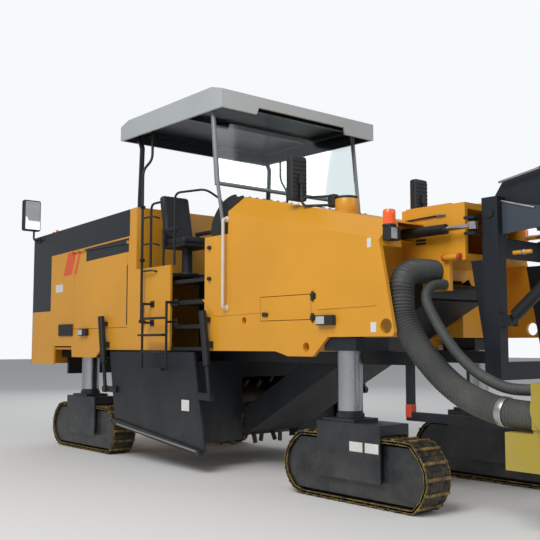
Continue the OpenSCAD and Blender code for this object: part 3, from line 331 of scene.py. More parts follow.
glass = Finish("window_glass", Transmission_Weight=1.0, IOR=1.45, Base_Color=(0.8, 0.88, 0.88))
glass.set(Roughness=glass.noise(2, 3) * 0.05 + 0.02)
lens = Finish("lamp_lens", Coat_Weight=0.6, Emission_Strength=0.35, Roughness=0.2)
lens_tone = lens.mix(lens.noise(30, 2), (0.68, 0.07, 0.012), (0.85, 0.14, 0.03))
lens.set(Base_Color=lens_tone, Emission_Color=lens_tone)
clear_lens = Finish("clear_lens", Coat_Weight=0.5, Metallic=0.4)
clear_lens.set(Base_Color=clear_lens.mix(clear_lens.noise(60, 1), (0.5, 0.52, 0.54), (0.9, 0.9, 0.9)))
clear_lens.set(Roughness=clear_lens.noise(30, 2) * 0.2 + 0.08)
mirror_glass = Finish("mirror_glass", Metallic=0.5, Base_Color=(0.88, 0.9, 0.92))
mirror_glass.set(Roughness=mirror_glass.noise(3, 2) * 0.04 + 0.01)

# %% [markdown]
# Track shoes are dark, and their edges carry a yellow-brown dust where they have walked.
# The dust sits on the bars and edge lips that stand proud, and the tread's mask comes from a coarse noise.

# %% Track steel
track_steel = Finish("track_steel")
grit = track_steel.noise(11, 6, 0.7)
track_tone = track_steel.mix(grit.between(0.42, 0.62), (0.012, 0.013, 0.015), (0.085, 0.062, 0.03))
track_steel.set(Base_Color=track_tone, Roughness=grit * 0.3 + 0.45)
track_steel.bump(grit, 0.003, 0.6)
edge_gold = Finish("shoe_edge")
flecks = edge_gold.noise(16, 6, 0.7)
edge_gold.set(Base_Color=edge_gold.mix(flecks.between(0.4, 0.62), (0.30, 0.20, 0.05), (0.045, 0.035, 0.018)))
edge_gold.set(Roughness=flecks * 0.3 + 0.45)
edge_gold.bump(flecks, 0.003, 0.6)
print("finishes", len(bpy.data.materials))

# %% [markdown]
# The rear body is one yellow shell, but its rear end and the band under the hood are
# painted dark, with a thin yellow line left above the name strip and two slanted orange
# stripes. These are masks on Object coordinates, so they need no picture.

# %% Rear body paint
rear = paint("rear_body_paint", YELLOW, 0.36, 1.0, 0.25, 0.3)
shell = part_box("rear_body")
ROOF_Z = shell[1][2]
TAIL_X = shell[0][0]
DARK_PANEL_X = TAIL_X + 0.66
DARK_PANEL_Z = 2.02
BAND_DROP = 0.34
SLOPE = 0.034


def inside(value, low, high):
    """1 where a value lies between low and high."""
    return (value > low) * (value < high)


roof_line = (rear.x - shell[1][0]) * SLOPE + ROOF_Z
under_roof = roof_line - rear.z
outer = (rear.y.math("ABSOLUTE") > HALF_W - 0.02)
band = under_roof < BAND_DROP
strip = inside(under_roof, BAND_DROP + 0.02, BAND_DROP + 0.21)
strip = strip * inside(rear.x, at(-5.22, 0, 0).x, at(-4.0, 0, 0).x)
tail_panel = (rear.x < DARK_PANEL_X) * (rear.z > DARK_PANEL_Z)
front_edge = rear.x < at(-3.98, 0, 0).x
dark_share = (band * front_edge).math("MAXIMUM", strip * front_edge).math("MAXIMUM", tail_panel) * outer
dark_share = dark_share.math("MAXIMUM", rear.x < TAIL_X + 0.012)
lean_x = rear.x + under_roof * 0.42
stripe_one = inside(lean_x, at(-5.66, 0, 0).x, at(-5.38, 0, 0).x)
stripe_two = inside(lean_x, at(-5.30, 0, 0).x, at(-5.22, 0, 0).x)
stripe_rows = inside(under_roof, BAND_DROP + 0.02, BAND_DROP + 0.36)
stripes = (stripe_one + stripe_two) * stripe_rows * outer
links = rear.shader.inputs["Base Color"].links[0].from_socket
tone = rear.mix(dark_share, Value(rear, links), NAVY)
rear.set(Base_Color=rear.mix(stripes, tone, (0.78, 0.105, 0.014)))

# %% [markdown]
# A leg is one node: a ground column that slides in the frame's tube, over a painted yoke.
# The height tells them apart.

# %% Leg paint
leg_finish = paint("leg_paint", NAVY, 0.48, 1.2, 0.2, 0.05)
YOKE_TOP = 0.86
on_column = leg_finish.z > YOKE_TOP
turned = leg_finish.noise(6, 4, 0.6)
painted = Value(leg_finish, leg_finish.shader.inputs["Base Color"].links[0].from_socket)
leg_finish.set(Base_Color=leg_finish.mix(on_column, painted, (0.5, 0.52, 0.54)))
leg_finish.set(Metallic=on_column * 1.0, Roughness=turned * 0.1 + 0.3 - on_column * 0.08)

# %% [markdown]
# The canopy is pale outside and dark inside, and its frame is dark but for the two
# windshield posts. Both are masks on the place, like the rear body's.

# %% Canopy paint
roof_paint = paint("canopy_roof_paint", (0.44, 0.47, 0.47), 0.4, 1.0, 0.2, 0.2)
roof_low, roof_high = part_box("canopy_roof")
EDGE = 0.03
ceiling = inside(roof_paint.x, roof_low[0] + EDGE, roof_high[0] - EDGE)
ceiling = ceiling * (roof_paint.y.math("ABSOLUTE") < roof_high[1] - EDGE)
ceiling = ceiling * (roof_paint.z < roof_high[2] - 0.07)
pale = Value(roof_paint, roof_paint.shader.inputs["Base Color"].links[0].from_socket)
roof_paint.set(Base_Color=roof_paint.mix(ceiling, pale, BLACK))
post_paint = paint("canopy_frame_paint", (0.2, 0.225, 0.23), 0.36, 1.0, 0.2, 0.3)
dark_post = (post_paint.z > roof_high[2] - 0.15).math("MAXIMUM", post_paint.x < at(-3.2, 0, 0).x)
pale = Value(post_paint, post_paint.shader.inputs["Base Color"].links[0].from_socket)
post_paint.set(Base_Color=post_paint.mix(dark_post, pale, BLACK))

# %% [markdown]
# Each node of the frame now gets its finish. Most of them keep their shape, because steel
# plate looks like steel plate, and only a table is needed.

# %% Finishes of the frame's nodes
FINISH_OF = {
    olive_paint: ["duct_fan"],
    yellow_paint: ["front_body", "front_head", "tool_door_r", "tool_door_l"],
    rear: ["rear_body", "engine_door_r", "engine_door_l"],
    navy_paint: ["main_frame", "drum_housing", "slew_console", "conveyor_frame",
                 "side_plate_r", "side_plate_l", "primary_conveyor"],
    black_paint: ["rear_grille", "platform", "ladders", "handrails", "plate_cylinders",
                  "lift_barrels", "slew_barrel_r", "slew_barrel_l"],
    black_plastic: ["console_cover", "consoles", "mirrors"],
    cast_grey: ["engine_block"],
    seat_vinyl: ["seats"],
    roof_paint: ["canopy_roof"],
    post_paint: ["canopy_frame"],
    glass: ["windshield"],
    hose_rubber: ["dust_hose", "small_hose"],
    lens: ["lamps"],
    worn_steel: ["milling_drum", "scraper_gate"],
    leg_finish: ["leg_fr", "leg_fl", "leg_rr", "leg_rl"],
    track_steel: ["track_fr", "track_fl", "track_rr", "track_rl"],
    belt_rubber: ["conveyor_belt"],
    chrome: ["lift_rods", "slew_rod_r", "slew_rod_l"],
    hood_blue: ["hood_lid"],
}
for finish, names in FINISH_OF.items():
    for name in names:
        nodes[name].data.materials.clear()
        nodes[name].data.materials.append(finish.material)
left_plain = sorted(set(nodes) - {name for names in FINISH_OF.values() for name in names})
print("nodes with no finish", left_plain)

# %% [markdown]
# New pieces start as a primitive at its size and place. A few helpers keep that short: only selects what the next
# operator acts on, block makes a plate or box with eased edges, rod a bar or pin, and pipe a bent tube. give hands a
# finished piece to its body.


def only(*chosen):
    """Selects these objects alone, and makes the last one active."""
    bpy.ops.object.select_all(action="DESELECT")
    for piece in chosen:
        piece.select_set(True)
    bpy.context.view_layer.objects.active = chosen[-1]


def apply_all(piece):
    """Applies the piece's modifiers and its place, turn and scale."""
    only(piece)
    for modifier in list(piece.modifiers):
        bpy.ops.object.modifier_apply(modifier=modifier.name)
    bpy.ops.object.transform_apply(location=True, rotation=True, scale=True)


def eased(piece, width, segments=2):
    """Bevels the piece's sharp edges."""
    bevel = piece.modifiers.new("ease", "BEVEL")
    bevel.width = width
    bevel.segments = segments
    bevel.limit_method = "ANGLE"
    bevel.angle_limit = math.radians(40)
    return piece


def block(name, low, high, ease=0.006, segments=2):
    """A box between two corners with eased edges."""
    low, high = Vector(low), Vector(high)
    only(floor)
    bpy.ops.mesh.primitive_cube_add(size=1, location=(low + high) / 2)
    piece = bpy.context.object
    piece.name = name
    piece.scale = high - low
    only(piece)
    bpy.ops.object.transform_apply(location=True, rotation=True, scale=True)
    if ease:
        eased(piece, ease, segments)
    apply_all(piece)
    return piece


def rod(name, start, end, radius, sides=24, ease=0.0):
    """A round bar from one point to another."""
    start, end = Vector(start), Vector(end)
    only(floor)
    bpy.ops.mesh.primitive_cylinder_add(vertices=sides, radius=radius, depth=(end - start).length,
                                        location=(start + end) / 2)
    piece = bpy.context.object
    piece.name = name
    piece.rotation_euler = (end - start).to_track_quat("Z", "Y").to_euler()
    if ease:
        eased(piece, ease)
    apply_all(piece)
    bpy.ops.object.shade_smooth_by_angle(angle=math.radians(35))
    return piece


def rounded(points, corner, steps=5):
    """The points with each corner replaced by a short arc."""
    points = [Vector(p) for p in points]
    path = [points[0]]
    for before, here, after in zip(points, points[1:], points[2:]):
        reach = min(corner, (here - before).length * 0.45, (after - here).length * 0.45)
        first = here + (before - here).normalized() * reach
        last = here + (after - here).normalized() * reach
        for i in range(steps + 1):
            t = i / steps
            path.append(first * (1 - t) ** 2 + here * 2 * t * (1 - t) + last * t ** 2)
    return path + [points[-1]]


def pipe(name, points, radius, corner=0.06, sides=12):
    """A bent tube: a curve with round corners and a round section, made a mesh."""
    line = bpy.data.curves.new(name, "CURVE")
    line.dimensions = "3D"
    line.bevel_depth = radius
    line.bevel_resolution = max(1, sides // 4 - 1)
    line.use_fill_caps = True
    spline = line.splines.new("POLY")
    path = rounded(points, corner)
    spline.points.add(len(path) - 1)
    for point, place in zip(spline.points, path):
        point.co = (*place, 1)
    piece = bpy.data.objects.new(name, line)
    bpy.context.scene.collection.objects.link(piece)
    only(piece)
    bpy.ops.object.convert(target="MESH")
    piece = bpy.context.object
    piece.name = name
    bpy.ops.object.shade_smooth_by_angle(angle=math.radians(50))
    return piece


def joined(name, parts):
    """Several pieces made one."""
    only(*parts)
    if len(parts) > 1:
        bpy.ops.object.join()
    piece = bpy.context.object
    piece.name = name
    return piece


def copies(name, model, matrices):
    """The model's mesh repeated at each matrix, as one piece. The model itself goes."""
    shape = bmesh.new()
    for matrix in matrices:
        mesh = model.data.copy()
        mesh.transform(matrix)
        shape.from_mesh(mesh)
        bpy.data.meshes.remove(mesh)
    mesh = bpy.data.meshes.new(name)
    shape.to_mesh(mesh)
    shape.free()
    for finish in model.data.materials:
        mesh.materials.append(finish)
    piece = bpy.data.objects.new(name, mesh)
    bpy.context.scene.collection.objects.link(piece)
    bpy.data.objects.remove(model)
    return piece


def coat(piece, finish):
    """Gives a piece its material."""
    piece.data.materials.clear()
    piece.data.materials.append(finish.material)
    return piece


def give(piece, finish, body="chassis", replaces=(), keep=False):
    """A finished piece gets its material and the body that it rides on."""
    if not keep:
        coat(piece, finish)
    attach(piece, body)
    if replaces:
        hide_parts(*replaces)
    return piece


def pair(make):
    """Calls make for the right side and for the left."""
    return [make(side) for side in SIDES]


print("helpers ready")

# %% [markdown]
# A track is a closed chain of steel shoes. Each shoe is a pad with a grouser bar across it,
# four bolts and two chain links behind it. One shoe is modelled and repeated round the loop
# that the frame's own track follows, each copy turned to the chord that it covers.

# %% The track's loop
track_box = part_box("track_fr")
TRACK_L = track_box[1][0] - track_box[0][0]
TRACK_H = track_box[1][2]
SHOE_W = track_box[1][1] - track_box[0][1]
LUG = 0.018
PITCH_AIM = 0.148


def track_loop():
    """The corners of the shoes' outer face, counted from the track's middle."""
    end = TRACK_L / 2 - LUG
    flat = end - 0.17
    top = TRACK_H - LUG
    right = [(flat, LUG), (end - 0.03, LUG + 0.15), (end, TRACK_H * 0.5), (end - 0.045, TRACK_H * 0.72),
             (flat - 0.03, top)]
    left = [(-x, z) for x, z in reversed(right)]
    return [Vector((x, 0, z)) for x, z in right + left]


def spaced(corners, pitch):
    """Points at equal steps round a closed outline, and the step."""
    edges = list(zip(corners, corners[1:] + corners[:1]))
    total = sum((b - a).length for a, b in edges)
    count = round(total / pitch)
    step = total / count
    points = []
    walked = 0.0
    for a, b in edges:
        while len(points) * step < walked + (b - a).length - 1e-6:
            points.append(a.lerp(b, (len(points) * step - walked) / (b - a).length))
        walked += (b - a).length
    return points, step


stations, step = spaced(track_loop(), PITCH_AIM)
print("shoes on a track", len(stations), "pitch", round(step, 4))

# %% One shoe
shoe_half = SHOE_W / 2
pad = block("pad", (-step / 2 + 0.004, -shoe_half, -0.026), (step / 2 - 0.004, shoe_half, -0.002), 0.004, 1)
bar = block("bar", (-0.014, -shoe_half, -0.006), (0.014, shoe_half, LUG - 0.001), 0.004, 1)
lips = [block("lip", (-step / 2 + 0.006, y - 0.007, -0.03), (step / 2 - 0.006, y + 0.007, 0.001), 0, 1)
        for y in (-shoe_half + 0.007, shoe_half - 0.007)]
links_of = [block("link", (-step * 0.46, y - 0.02, -0.082), (step * 0.46, y + 0.02, -0.026), 0.006, 1)
            for y in (-0.06, 0.06)]
bolts = [rod("bolt", (x, y, -0.004), (x, y, 0.008), 0.011, 6)
         for x in (-0.04, 0.04) for y in (-0.11, 0.11)]
for part in [pad, *links_of, *bolts]:
    coat(part, track_steel)
for part in [bar, *lips]:
    coat(part, edge_gold)
shoe = joined("shoe", [bar, *lips, *links_of, *bolts, pad])
print("faces of a shoe", len(shoe.data.polygons))

# %% Four tracks
turned_shoes = []
for here, after in zip(stations, stations[1:] + stations[:1]):
    along = (after - here).normalized()
    out = Vector((along.z, 0, -along.x))
    basis = Matrix((along, Vector((0, -1, 0)), out)).transposed().to_4x4()
    turned_shoes.append(Matrix.Translation((here + after) / 2) @ basis)
one_track = copies("shoes", shoe, turned_shoes)
TRACKS = {"fr": (-1, "front_track_r"), "fl": (1, "front_track_l"),
          "rr": (-1, "rear_track_r"), "rl": (1, "rear_track_l")}
for name, (side, body) in TRACKS.items():
    mesh = one_track.data.copy()
    low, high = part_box("track_" + name)
    middle = Vector(((low[0] + high[0]) / 2, side * TRACK_Y, 0))
    mesh.transform(Matrix.Translation(middle))
    piece = bpy.data.objects.new("shoes_" + name, mesh)
    bpy.context.scene.collection.objects.link(piece)
    give(piece, track_steel, body, ["track_" + name], keep=True)
bpy.data.objects.remove(one_track)
print("track faces", len(mesh.polygons))

# %% [markdown]
# The dust hose is a spiral-ribbed rubber hose. It is made as a tube along the same points
# as the frame's plain one, with a ring of vertices on each rib's crest and in each groove,
# so that the ribs are real and catch the light as on the real hose.

# %% Hose routes
HOSE_END_X = 2.10
DUST_ROUTE = [(0.64, -0.5003, 2.205), (0.64, -0.65, 2.205), (0.636, -0.83, 2.19), (0.65, -0.96, 2.11),
              (0.66, -1.0, 1.96), (0.70, -1.01, 1.725), (0.85, -1.01, 1.49), (1.09, -1.01, 1.25),
              (1.33, -1.01, 1.085), (1.56, -1.01, 0.995), (1.76, -1.01, 0.95), (2.0, -1.01, 0.93),
              (HOSE_END_X, -1.01, 0.93)]
SMALL_ROUTE = [(0.77, -0.5003, 2.075), (0.77, -0.56, 2.075), (0.78, -0.70, 2.05), (0.805, -0.81, 1.99),
               (0.845, -0.87, 1.92), (0.895, -0.90, 1.845), (1.021, -0.90, 1.647), (1.183, -0.90, 1.449),
               (1.362, -0.90, 1.294), (1.545, -0.90, 1.195), (1.741, -0.90, 1.135), (2.0, -0.90, 1.13),
               (HOSE_END_X, -0.90, 1.13)]


def smooth_path(points, steps):
    """A curve through the points, as many steps as asked from each to the next."""
    points = [at(*p) for p in points]
    ends = [points[0] * 2 - points[1], *points, points[-1] * 2 - points[-2]]
    path = []
    for p0, p1, p2, p3 in zip(ends, ends[1:], ends[2:], ends[3:]):
        for i in range(steps):
            t = i / steps
            path.append((p1 * 2 + (p2 - p0) * t + (p0 * 2 - p1 * 5 + p2 * 4 - p3) * t * t
                         + (p1 * 3 - p0 - p2 * 3 + p3) * t ** 3) / 2)
    return path + [points[-1]]


def evenly(path, step):
    """The path again, with points one step apart."""
    points = [path[0]]
    left = step
    for a, b in zip(path, path[1:]):
        length = (b - a).length
        gone = left
        while gone <= length:
            points.append(a.lerp(b, gone / length))
            gone += step
        left = gone - length
    return points + [path[-1]]


def ribbed_hose(name, route, radius, rib, depth, sides):
    """A tube whose radius goes up and down from ring to ring."""
    path = evenly(smooth_path(route, 24), rib / 4)
    shape = bmesh.new()
    rings = []
    across = Vector((0, 0, 1))
    for i, point in enumerate(path):
        ahead = (path[min(i + 1, len(path) - 1)] - path[max(i - 1, 0)]).normalized()
        across = (across - ahead * across.dot(ahead)).normalized()
        other = ahead.cross(across)
        size = radius - depth * (0.5 - 0.5 * math.cos(math.pi * 0.5 * i)) if 2 < i < len(path) - 3 else radius
        rings.append([shape.verts.new(point + (across * math.cos(a) + other * math.sin(a)) * size)
                      for a in (2 * math.pi * k / sides for k in range(sides))])
    for ring, after in zip(rings, rings[1:]):
        for k in range(sides):
            n = (k + 1) % sides
            shape.faces.new((ring[k], ring[n], after[n], after[k]))
    shape.faces.new(rings[0][::-1])
    shape.faces.new(rings[-1])
    mesh = bpy.data.meshes.new(name)
    shape.to_mesh(mesh)
    shape.free()
    piece = bpy.data.objects.new(name, mesh)
    bpy.context.scene.collection.objects.link(piece)
    only(piece)
    bpy.ops.object.shade_smooth_by_angle(angle=math.radians(60))
    length = sum((b - a).length for a, b in zip(path, path[1:]))
    print(name, "length", round(length, 2), "faces", len(mesh.polygons))
    return piece


dust = ribbed_hose("dust_hose_ribbed", DUST_ROUTE, 0.12, 0.032, 0.012, 28)
give(dust, hose_rubber, replaces=["dust_hose"])
small = ribbed_hose("small_hose_ribbed", SMALL_ROUTE, 0.05, 0.022, 0.006, 18)
give(small, hose_rubber, replaces=["small_hose"])

# %% [markdown]
# Rails are bent from steel tube, so their corners are arcs. Each is a curve with a round
# section whose corners are rounded by a helper, and it replaces the frame's mitred rail.

# %% Handrails and grab rails
SEAT = 0.0003
DECK_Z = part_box("seats")[0][2] - SEAT
STEP_TOP = 2.5
RAIL_Y = HALF_W + 0.06


def rails_of(side):
    tall = [(-3.56, HALF_W + SEAT, 1.8), (-3.56, RAIL_Y, 1.8), (-3.56, RAIL_Y, 3.8), (-3.56, 1.12, 3.95),
            (-3.56, 1.12, 4.399)]
    inner = [(-3.23, 1.14, DECK_Z), (-3.23, 1.14, 3.35), (-3.54, 1.14, 3.35), (-3.54, 1.14, DECK_Z)]
    stair = [(-2.96, 1.15, STEP_TOP), (-2.96, 1.15, 3.42), (-2.5, 1.0, 3.42), (-2.5, 0.73, 3.3),
             (-2.5, 0.73, DECK_Z)]
    parts = []
    for points, radius in ((tall, 0.018), (inner, 0.016), (stair, 0.015)):
        parts.append(pipe("rail", [at(x, y * side, z) for x, y, z in points], radius, 0.09))
    for z in (2.45, 2.8, 3.15):
        parts.append(pipe("rung", [at(-3.56, side * RAIL_Y, z), at(-3.30, side * RAIL_Y, z),
                                   at(-3.28, side * 1.17, z - 0.02)], 0.012, 0.05, 8))
    for z in (1.8, 2.6, 3.3):
        parts.append(rod("clamp", at(-3.56, side * (RAIL_Y - 0.03), z),
                         at(-3.56, side * (RAIL_Y + 0.024), z), 0.024, 12))
    return parts


rails = joined("rails", [part for parts in pair(rails_of) for part in parts])
give(rails, black_paint, replaces=["handrails"])


def grab_of(side):
    bar_y = side * RAIL_Y
    wall = side * (HALF_W + SEAT)
    line = [at(-1.79, wall, 1.92), at(-1.79, bar_y, 1.92), at(-1.79, bar_y, 2.94), at(-1.79, wall, 2.94)]
    parts = [pipe("grab", line, 0.019, 0.035)]
    for z in (1.92, 2.94):
        parts.append(rod("foot", at(-1.79, wall, z), at(-1.79, wall + side * 0.012, z), 0.036, 20, 0.003))
    return parts


grabs = joined("grab_rails", [part for parts in pair(grab_of) for part in parts])
give(grabs, grab_white)

# %% [markdown]
# The mirrors have moulded housings with ribs on the back and glass set in a rim. The front
# pair stands on a loop of bent tube that is clamped to a round yellow boss on the tank, and
# the tail pair on an arm at the rear corners.

# %% Mirrors
NOSE_TOP = (0.52, 2.69)
CREST = (-1.77, 3.23)
BOSS_X, BOSS_Y = -0.33, 0.72
BOSS_TOP = 3.03


def mirror_head(x, y, low, width, height, facing):
    """A housing with a rim and ribs. The glass looks along facing, which is 1 or -1."""
    depth = 0.055
    shell = block("housing", at(x - depth, y - width / 2, low), at(x + depth, y + width / 2, low + height), 0.03, 4)
    only(shell)
    parts = [shell]
    back = x - facing * depth
    for i in range(9):
        z = low + height * (0.12 + 0.095 * i)
        parts.append(block("rib", at(back - 0.008, y - width * 0.42, z - 0.008),
                           at(back + 0.008, y + width * 0.42, z + 0.008), 0.004))
    front = x + facing * depth
    glass_plate = block("glass", at(min(front, front + facing * 0.004), y - width / 2 + 0.024, low + 0.024),
                        at(max(front, front + facing * 0.004), y + width / 2 - 0.024, low + height - 0.024), 0.001)
    return parts, glass_plate


def front_mirror(side):
    y = side * 1.01
    parts, plate = mirror_head(-0.80, y, 3.04, 0.23, 0.49, -1)
    loop = [at(BOSS_X - 0.10, side * 0.80, 3.07), at(-0.68, side * 1.0, 3.07), at(-0.71, side * 1.02, 3.02),
            at(-0.68, side * 1.0, 2.975), at(BOSS_X - 0.10, side * 0.80, 2.975)]
    parts.append(pipe("loop", loop, 0.014, 0.03))
    parts.append(pipe("pole", [at(-0.71, side * 1.015, 3.03), at(-0.725, side * 1.01, 3.12),
                               at(-0.725, side * 1.01, 3.32)], 0.016, 0.04))
    parts.append(block("bracket", at(-0.752, y - 0.03, 3.22), at(-0.71, y + 0.03, 3.30), 0.006))
    parts.append(block("clamp", at(BOSS_X - 0.17, side * 0.80 - 0.045, 2.95),
                       at(BOSS_X - 0.07, side * 0.80 + 0.045, 3.09), 0.02, 3))
    parts.append(rod("cap_ring", at(BOSS_X, side * BOSS_Y, BOSS_TOP),
                     at(BOSS_X, side * BOSS_Y, BOSS_TOP + 0.028), 0.118, 48, 0.008))
    return parts, plate


def tail_mirror(side):
    y = side * 1.345
    parts, plate = mirror_head(-6.85, y, 3.32, 0.29, 0.50, 1)
    arm = [at(-6.86, side * 1.29, 3.33), at(-6.86, side * 1.29, 3.18), at(-6.86, side * (HALF_W + SEAT), 3.18)]
    parts.append(pipe("arm", arm, 0.017, 0.05))
    parts.append(block("foot", at(-6.92, side * (HALF_W + 0.006) - 0.006, 3.13),
                       at(-6.80, side * (HALF_W + 0.006) + 0.006, 3.23), 0.003))
    return parts, plate


housings, plates = [], []
for make in (front_mirror, tail_mirror):
    for parts, plate in pair(make):
        housings += parts
        plates.append(plate)
give(joined("mirror_housings", housings), black_plastic, replaces=["mirrors"])
give(joined("mirror_plates", plates), mirror_glass)


def tank_top(x):
    """Height of the front body's sloping top."""
    return NOSE_TOP[1] + (NOSE_TOP[0] - x) * (CREST[1] - NOSE_TOP[1]) / (NOSE_TOP[0] - CREST[0])


def boss(side):
    foot = tank_top(BOSS_X)
    parts = [rod("boss", at(BOSS_X, side * BOSS_Y, foot - 0.02), at(BOSS_X, side * BOSS_Y, BOSS_TOP), 0.125, 56, 0.006)]
    ring = rod("flange", at(BOSS_X, side * BOSS_Y, 0), at(BOSS_X, side * BOSS_Y, 0.012), 0.16, 56, 0.004)
    for vertex in ring.data.vertices:
        vertex.co.z += tank_top(vertex.co.x - LEG_X)
    return parts + [ring]


give(joined("mirror_bosses", [part for parts in pair(boss) for part in parts]), yellow_paint, replaces=["mirrors"])

# %% [markdown]
# A beacon is a ribbed orange lens on a black base. The lens is a cylinder whose top is
# rounded with a bevel, and the ribs are thin rings, because a lens without them looks like
# a plain cup.

# %% Beacons and lamps
LAMP_BOX_X = (0.566, 0.668)
LAMP_BOX_Z = (2.47, 2.60)


def beacon(x, y, z, radius, height):
    lens_part = rod("lens", at(x, y, z + 0.02), at(x, y, z + height), radius, 40, radius * 0.3)
    rings = [rod("ring", at(x, y, z + height * f), at(x, y, z + height * f + 0.005), radius * 1.03, 40)
             for f in (0.3, 0.42, 0.54, 0.66)]
    base = rod("base", at(x, y, z), at(x, y, z + 0.024), radius * 1.12, 40, 0.004)
    return [lens_part, *rings], base


lenses, bases, silver = [], [], []
for side in SIDES:
    for x, y, z, radius, height in ((LAMP_BOX_X[0] + 0.034, side * (HALF_W - 0.107), LAMP_BOX_Z[1], 0.06, 0.168),
                                    (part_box("rear_body")[0][0] - LEG_X + 0.15, side * 0.9, 3.244, 0.055, 0.105)):
        shown, base = beacon(x, y, z, radius, height)
        lenses += shown
        bases.append(base)
    box_y = side * (HALF_W - 0.1175)
    bases.append(block("lamp_box", at(LAMP_BOX_X[0], box_y - 0.072, LAMP_BOX_Z[0]),
                       at(LAMP_BOX_X[1], box_y + 0.072, LAMP_BOX_Z[1]), 0.01))
    silver.append(block("reflector", at(LAMP_BOX_X[1] - 0.002, box_y - 0.058, LAMP_BOX_Z[0] + 0.014),
                        at(LAMP_BOX_X[1] + 0.005, box_y + 0.02, LAMP_BOX_Z[1] - 0.014), 0.003))
    wall = side * (HALF_W + SEAT)
    for low_x, high_x, low_z, high_z in ((-0.25, -0.01, 1.69, 1.79), (-5.33, -5.10, 1.63, 1.73)):
        bases.append(block("side_lamp", (LEG_X + low_x, min(wall, wall + side * 0.06), low_z),
                           (LEG_X + high_x, max(wall, wall + side * 0.06), high_z), 0.012, 3))
        silver.append(block("face", (LEG_X + low_x + 0.012, min(wall + side * 0.058, wall + side * 0.064), low_z + 0.012),
                            (LEG_X + low_x + 0.13, max(wall + side * 0.058, wall + side * 0.064), high_z - 0.012), 0.002))
give(joined("beacon_lenses", lenses), lens, replaces=["lamps"])
give(joined("lamp_bases", bases), black_plastic, replaces=["lamps"])
give(joined("lamp_faces", silver), clear_lens)

# %% [markdown]
# The body's sides carry the small things that a photograph of such a machine is full of: crease beads, hinges, latches,
# knobs, blank label plates, and a thin black strip of painted shade where an engine door's gap is. Each is a thin block
# or rod seated on the panel that it belongs to, and the left side has them as well.

# %% Beads, hinges and knobs on the body
def plate_on(side, low_x, high_x, low_z, high_z, out=0.004, wall=HALF_W, ease=0.001):
    """A thin plate on a side wall, set into it by a hair."""
    near, far = sorted((side * (wall - 0.003), side * (wall + out)))
    return block("plate", at(low_x, near, low_z), at(high_x, far, high_z), ease, 1)


def line_on(side, points, radius, wall=HALF_W):
    """A bead along points given by their X and Z on a side wall."""
    return pipe("bead", [at(x, side * wall, z) for x, z in points], radius, 0.03, 8)


beads, darks, labels = [], [], []
for side in SIDES:
    beads.append(line_on(side, [(-2.26, 2.03), (-1.98, 1.832), (-1.10, 1.851)], 0.009))
    beads.append(line_on(side, [(-0.27, 1.855), (0.52, 1.867)], 0.009))
    for z in (2.638, 2.271):
        darks.append(rod("knob", at(-2.12, side * HALF_W, z),
                         at(-2.12, side * (HALF_W + 0.035), z), 0.024, 20, 0.006))
    for low_z, high_z in ((1.938, 2.039), (1.726, 1.817)):
        darks.append(rod("hinge", at(-0.342, side * (HALF_W + 0.008), low_z),
                         at(-0.342, side * (HALF_W + 0.008), high_z), 0.014, 14, 0.003))
        darks.append(plate_on(side, -0.385, -0.299, low_z + 0.02, high_z - 0.02, 0.006))
    labels.append(plate_on(side, 0.415, 0.465, 2.413, 2.504))
    labels.append(plate_on(side, 0.45, 0.52, 1.614, 1.708))
    labels.append(plate_on(side, -6.20, -5.96, 2.30, 2.42))
    # A thin black strip at the engine door's front edge: painted shade in the door's gap.
    darks.append(plate_on(side, -4.045, -4.023, 1.768, 2.58, 0.003))
    darks.append(plate_on(side, -6.035, -5.60, 1.633, 1.807, 0.03, ease=0.008))
for side, name in zip(SIDES, ("right", "left")):
    handle = plate_on(side, -1.14, -1.05, 1.80, 1.84, 0.02, ease=0.006)
    handle.name = "locker_handle_" + name
    give(handle, black_plastic, "tool_door_" + name)
give(joined("crease_beads", beads), yellow_paint)
give(joined("side_fittings", darks), black_plastic)
give(joined("side_labels", labels), label_white)
print("side fittings", len(beads) + len(darks) + len(labels))

# %% [markdown]
# The head's side carries two slots, drawn as thin black plates whose black is painted shade, a thin pipe with a bright
# fitting and a short yellow accumulator with red-brown ends. Its wall stands at half a metre from the middle.

# %% Fittings on the head
HEAD_WALL = 0.5
slot_shade, bright, steel_lines = [], [], []
ends = []
tanks = []
for side in SIDES:
    # Two thin black plates stand for the slots: their black is painted shade.
    for low_z in (2.487, 2.52):
        slot_shade.append(plate_on(side, 0.42, 0.548, low_z, low_z + 0.02, 0.003, HEAD_WALL))
    wall = side * (HEAD_WALL + 0.012)
    steel_lines.append(pipe("line", [at(0.30, side * (HEAD_WALL - 0.004), 2.74), at(0.30, wall, 2.74),
                                     at(0.72, wall, 2.752)], 0.009, 0.03, 8))
    bright.append(rod("fitting", at(0.70, wall, 2.7515), at(0.80, wall, 2.7535), 0.014, 16, 0.003))
    tanks.append(rod("accumulator", at(0.80, side * (HEAD_WALL + 0.03), 2.33),
                     at(0.955, side * (HEAD_WALL + 0.03), 2.33), 0.03, 24, 0.006))
    for low_x in (0.775, 0.952):
        ends.append(rod("cap", at(low_x, side * (HEAD_WALL + 0.03), 2.33),
                        at(low_x + 0.03, side * (HEAD_WALL + 0.03), 2.33), 0.034, 24, 0.005))
give(joined("head_slots", slot_shade + steel_lines), black_plastic)
give(joined("head_fittings", bright), bright_steel)
give(joined("head_tanks", tanks), yellow_paint)
give(joined("head_tank_caps", ends), red_paint)
print("head fittings", len(slot_shade) + len(bright) + len(ends))

# %% [markdown]
# The conveyor's boom has a lighter stiffening panel, a yellow bar with a bright clamp and
# two bright pipes along its side, which lean as the boom does. They ride with the conveyor.

# %% Fittings on the boom
BOOM_WALL = 0.46


def on_boom(name, side, start, end, radius, out=0.0, sides=14, ease=0.0):
    """A rod along the boom's side wall between two points given by X and Z."""
    y = side * (BOOM_WALL + out)
    return rod(name, at(start[0], y, start[1]), at(end[0], y, end[1]), radius, sides, ease)


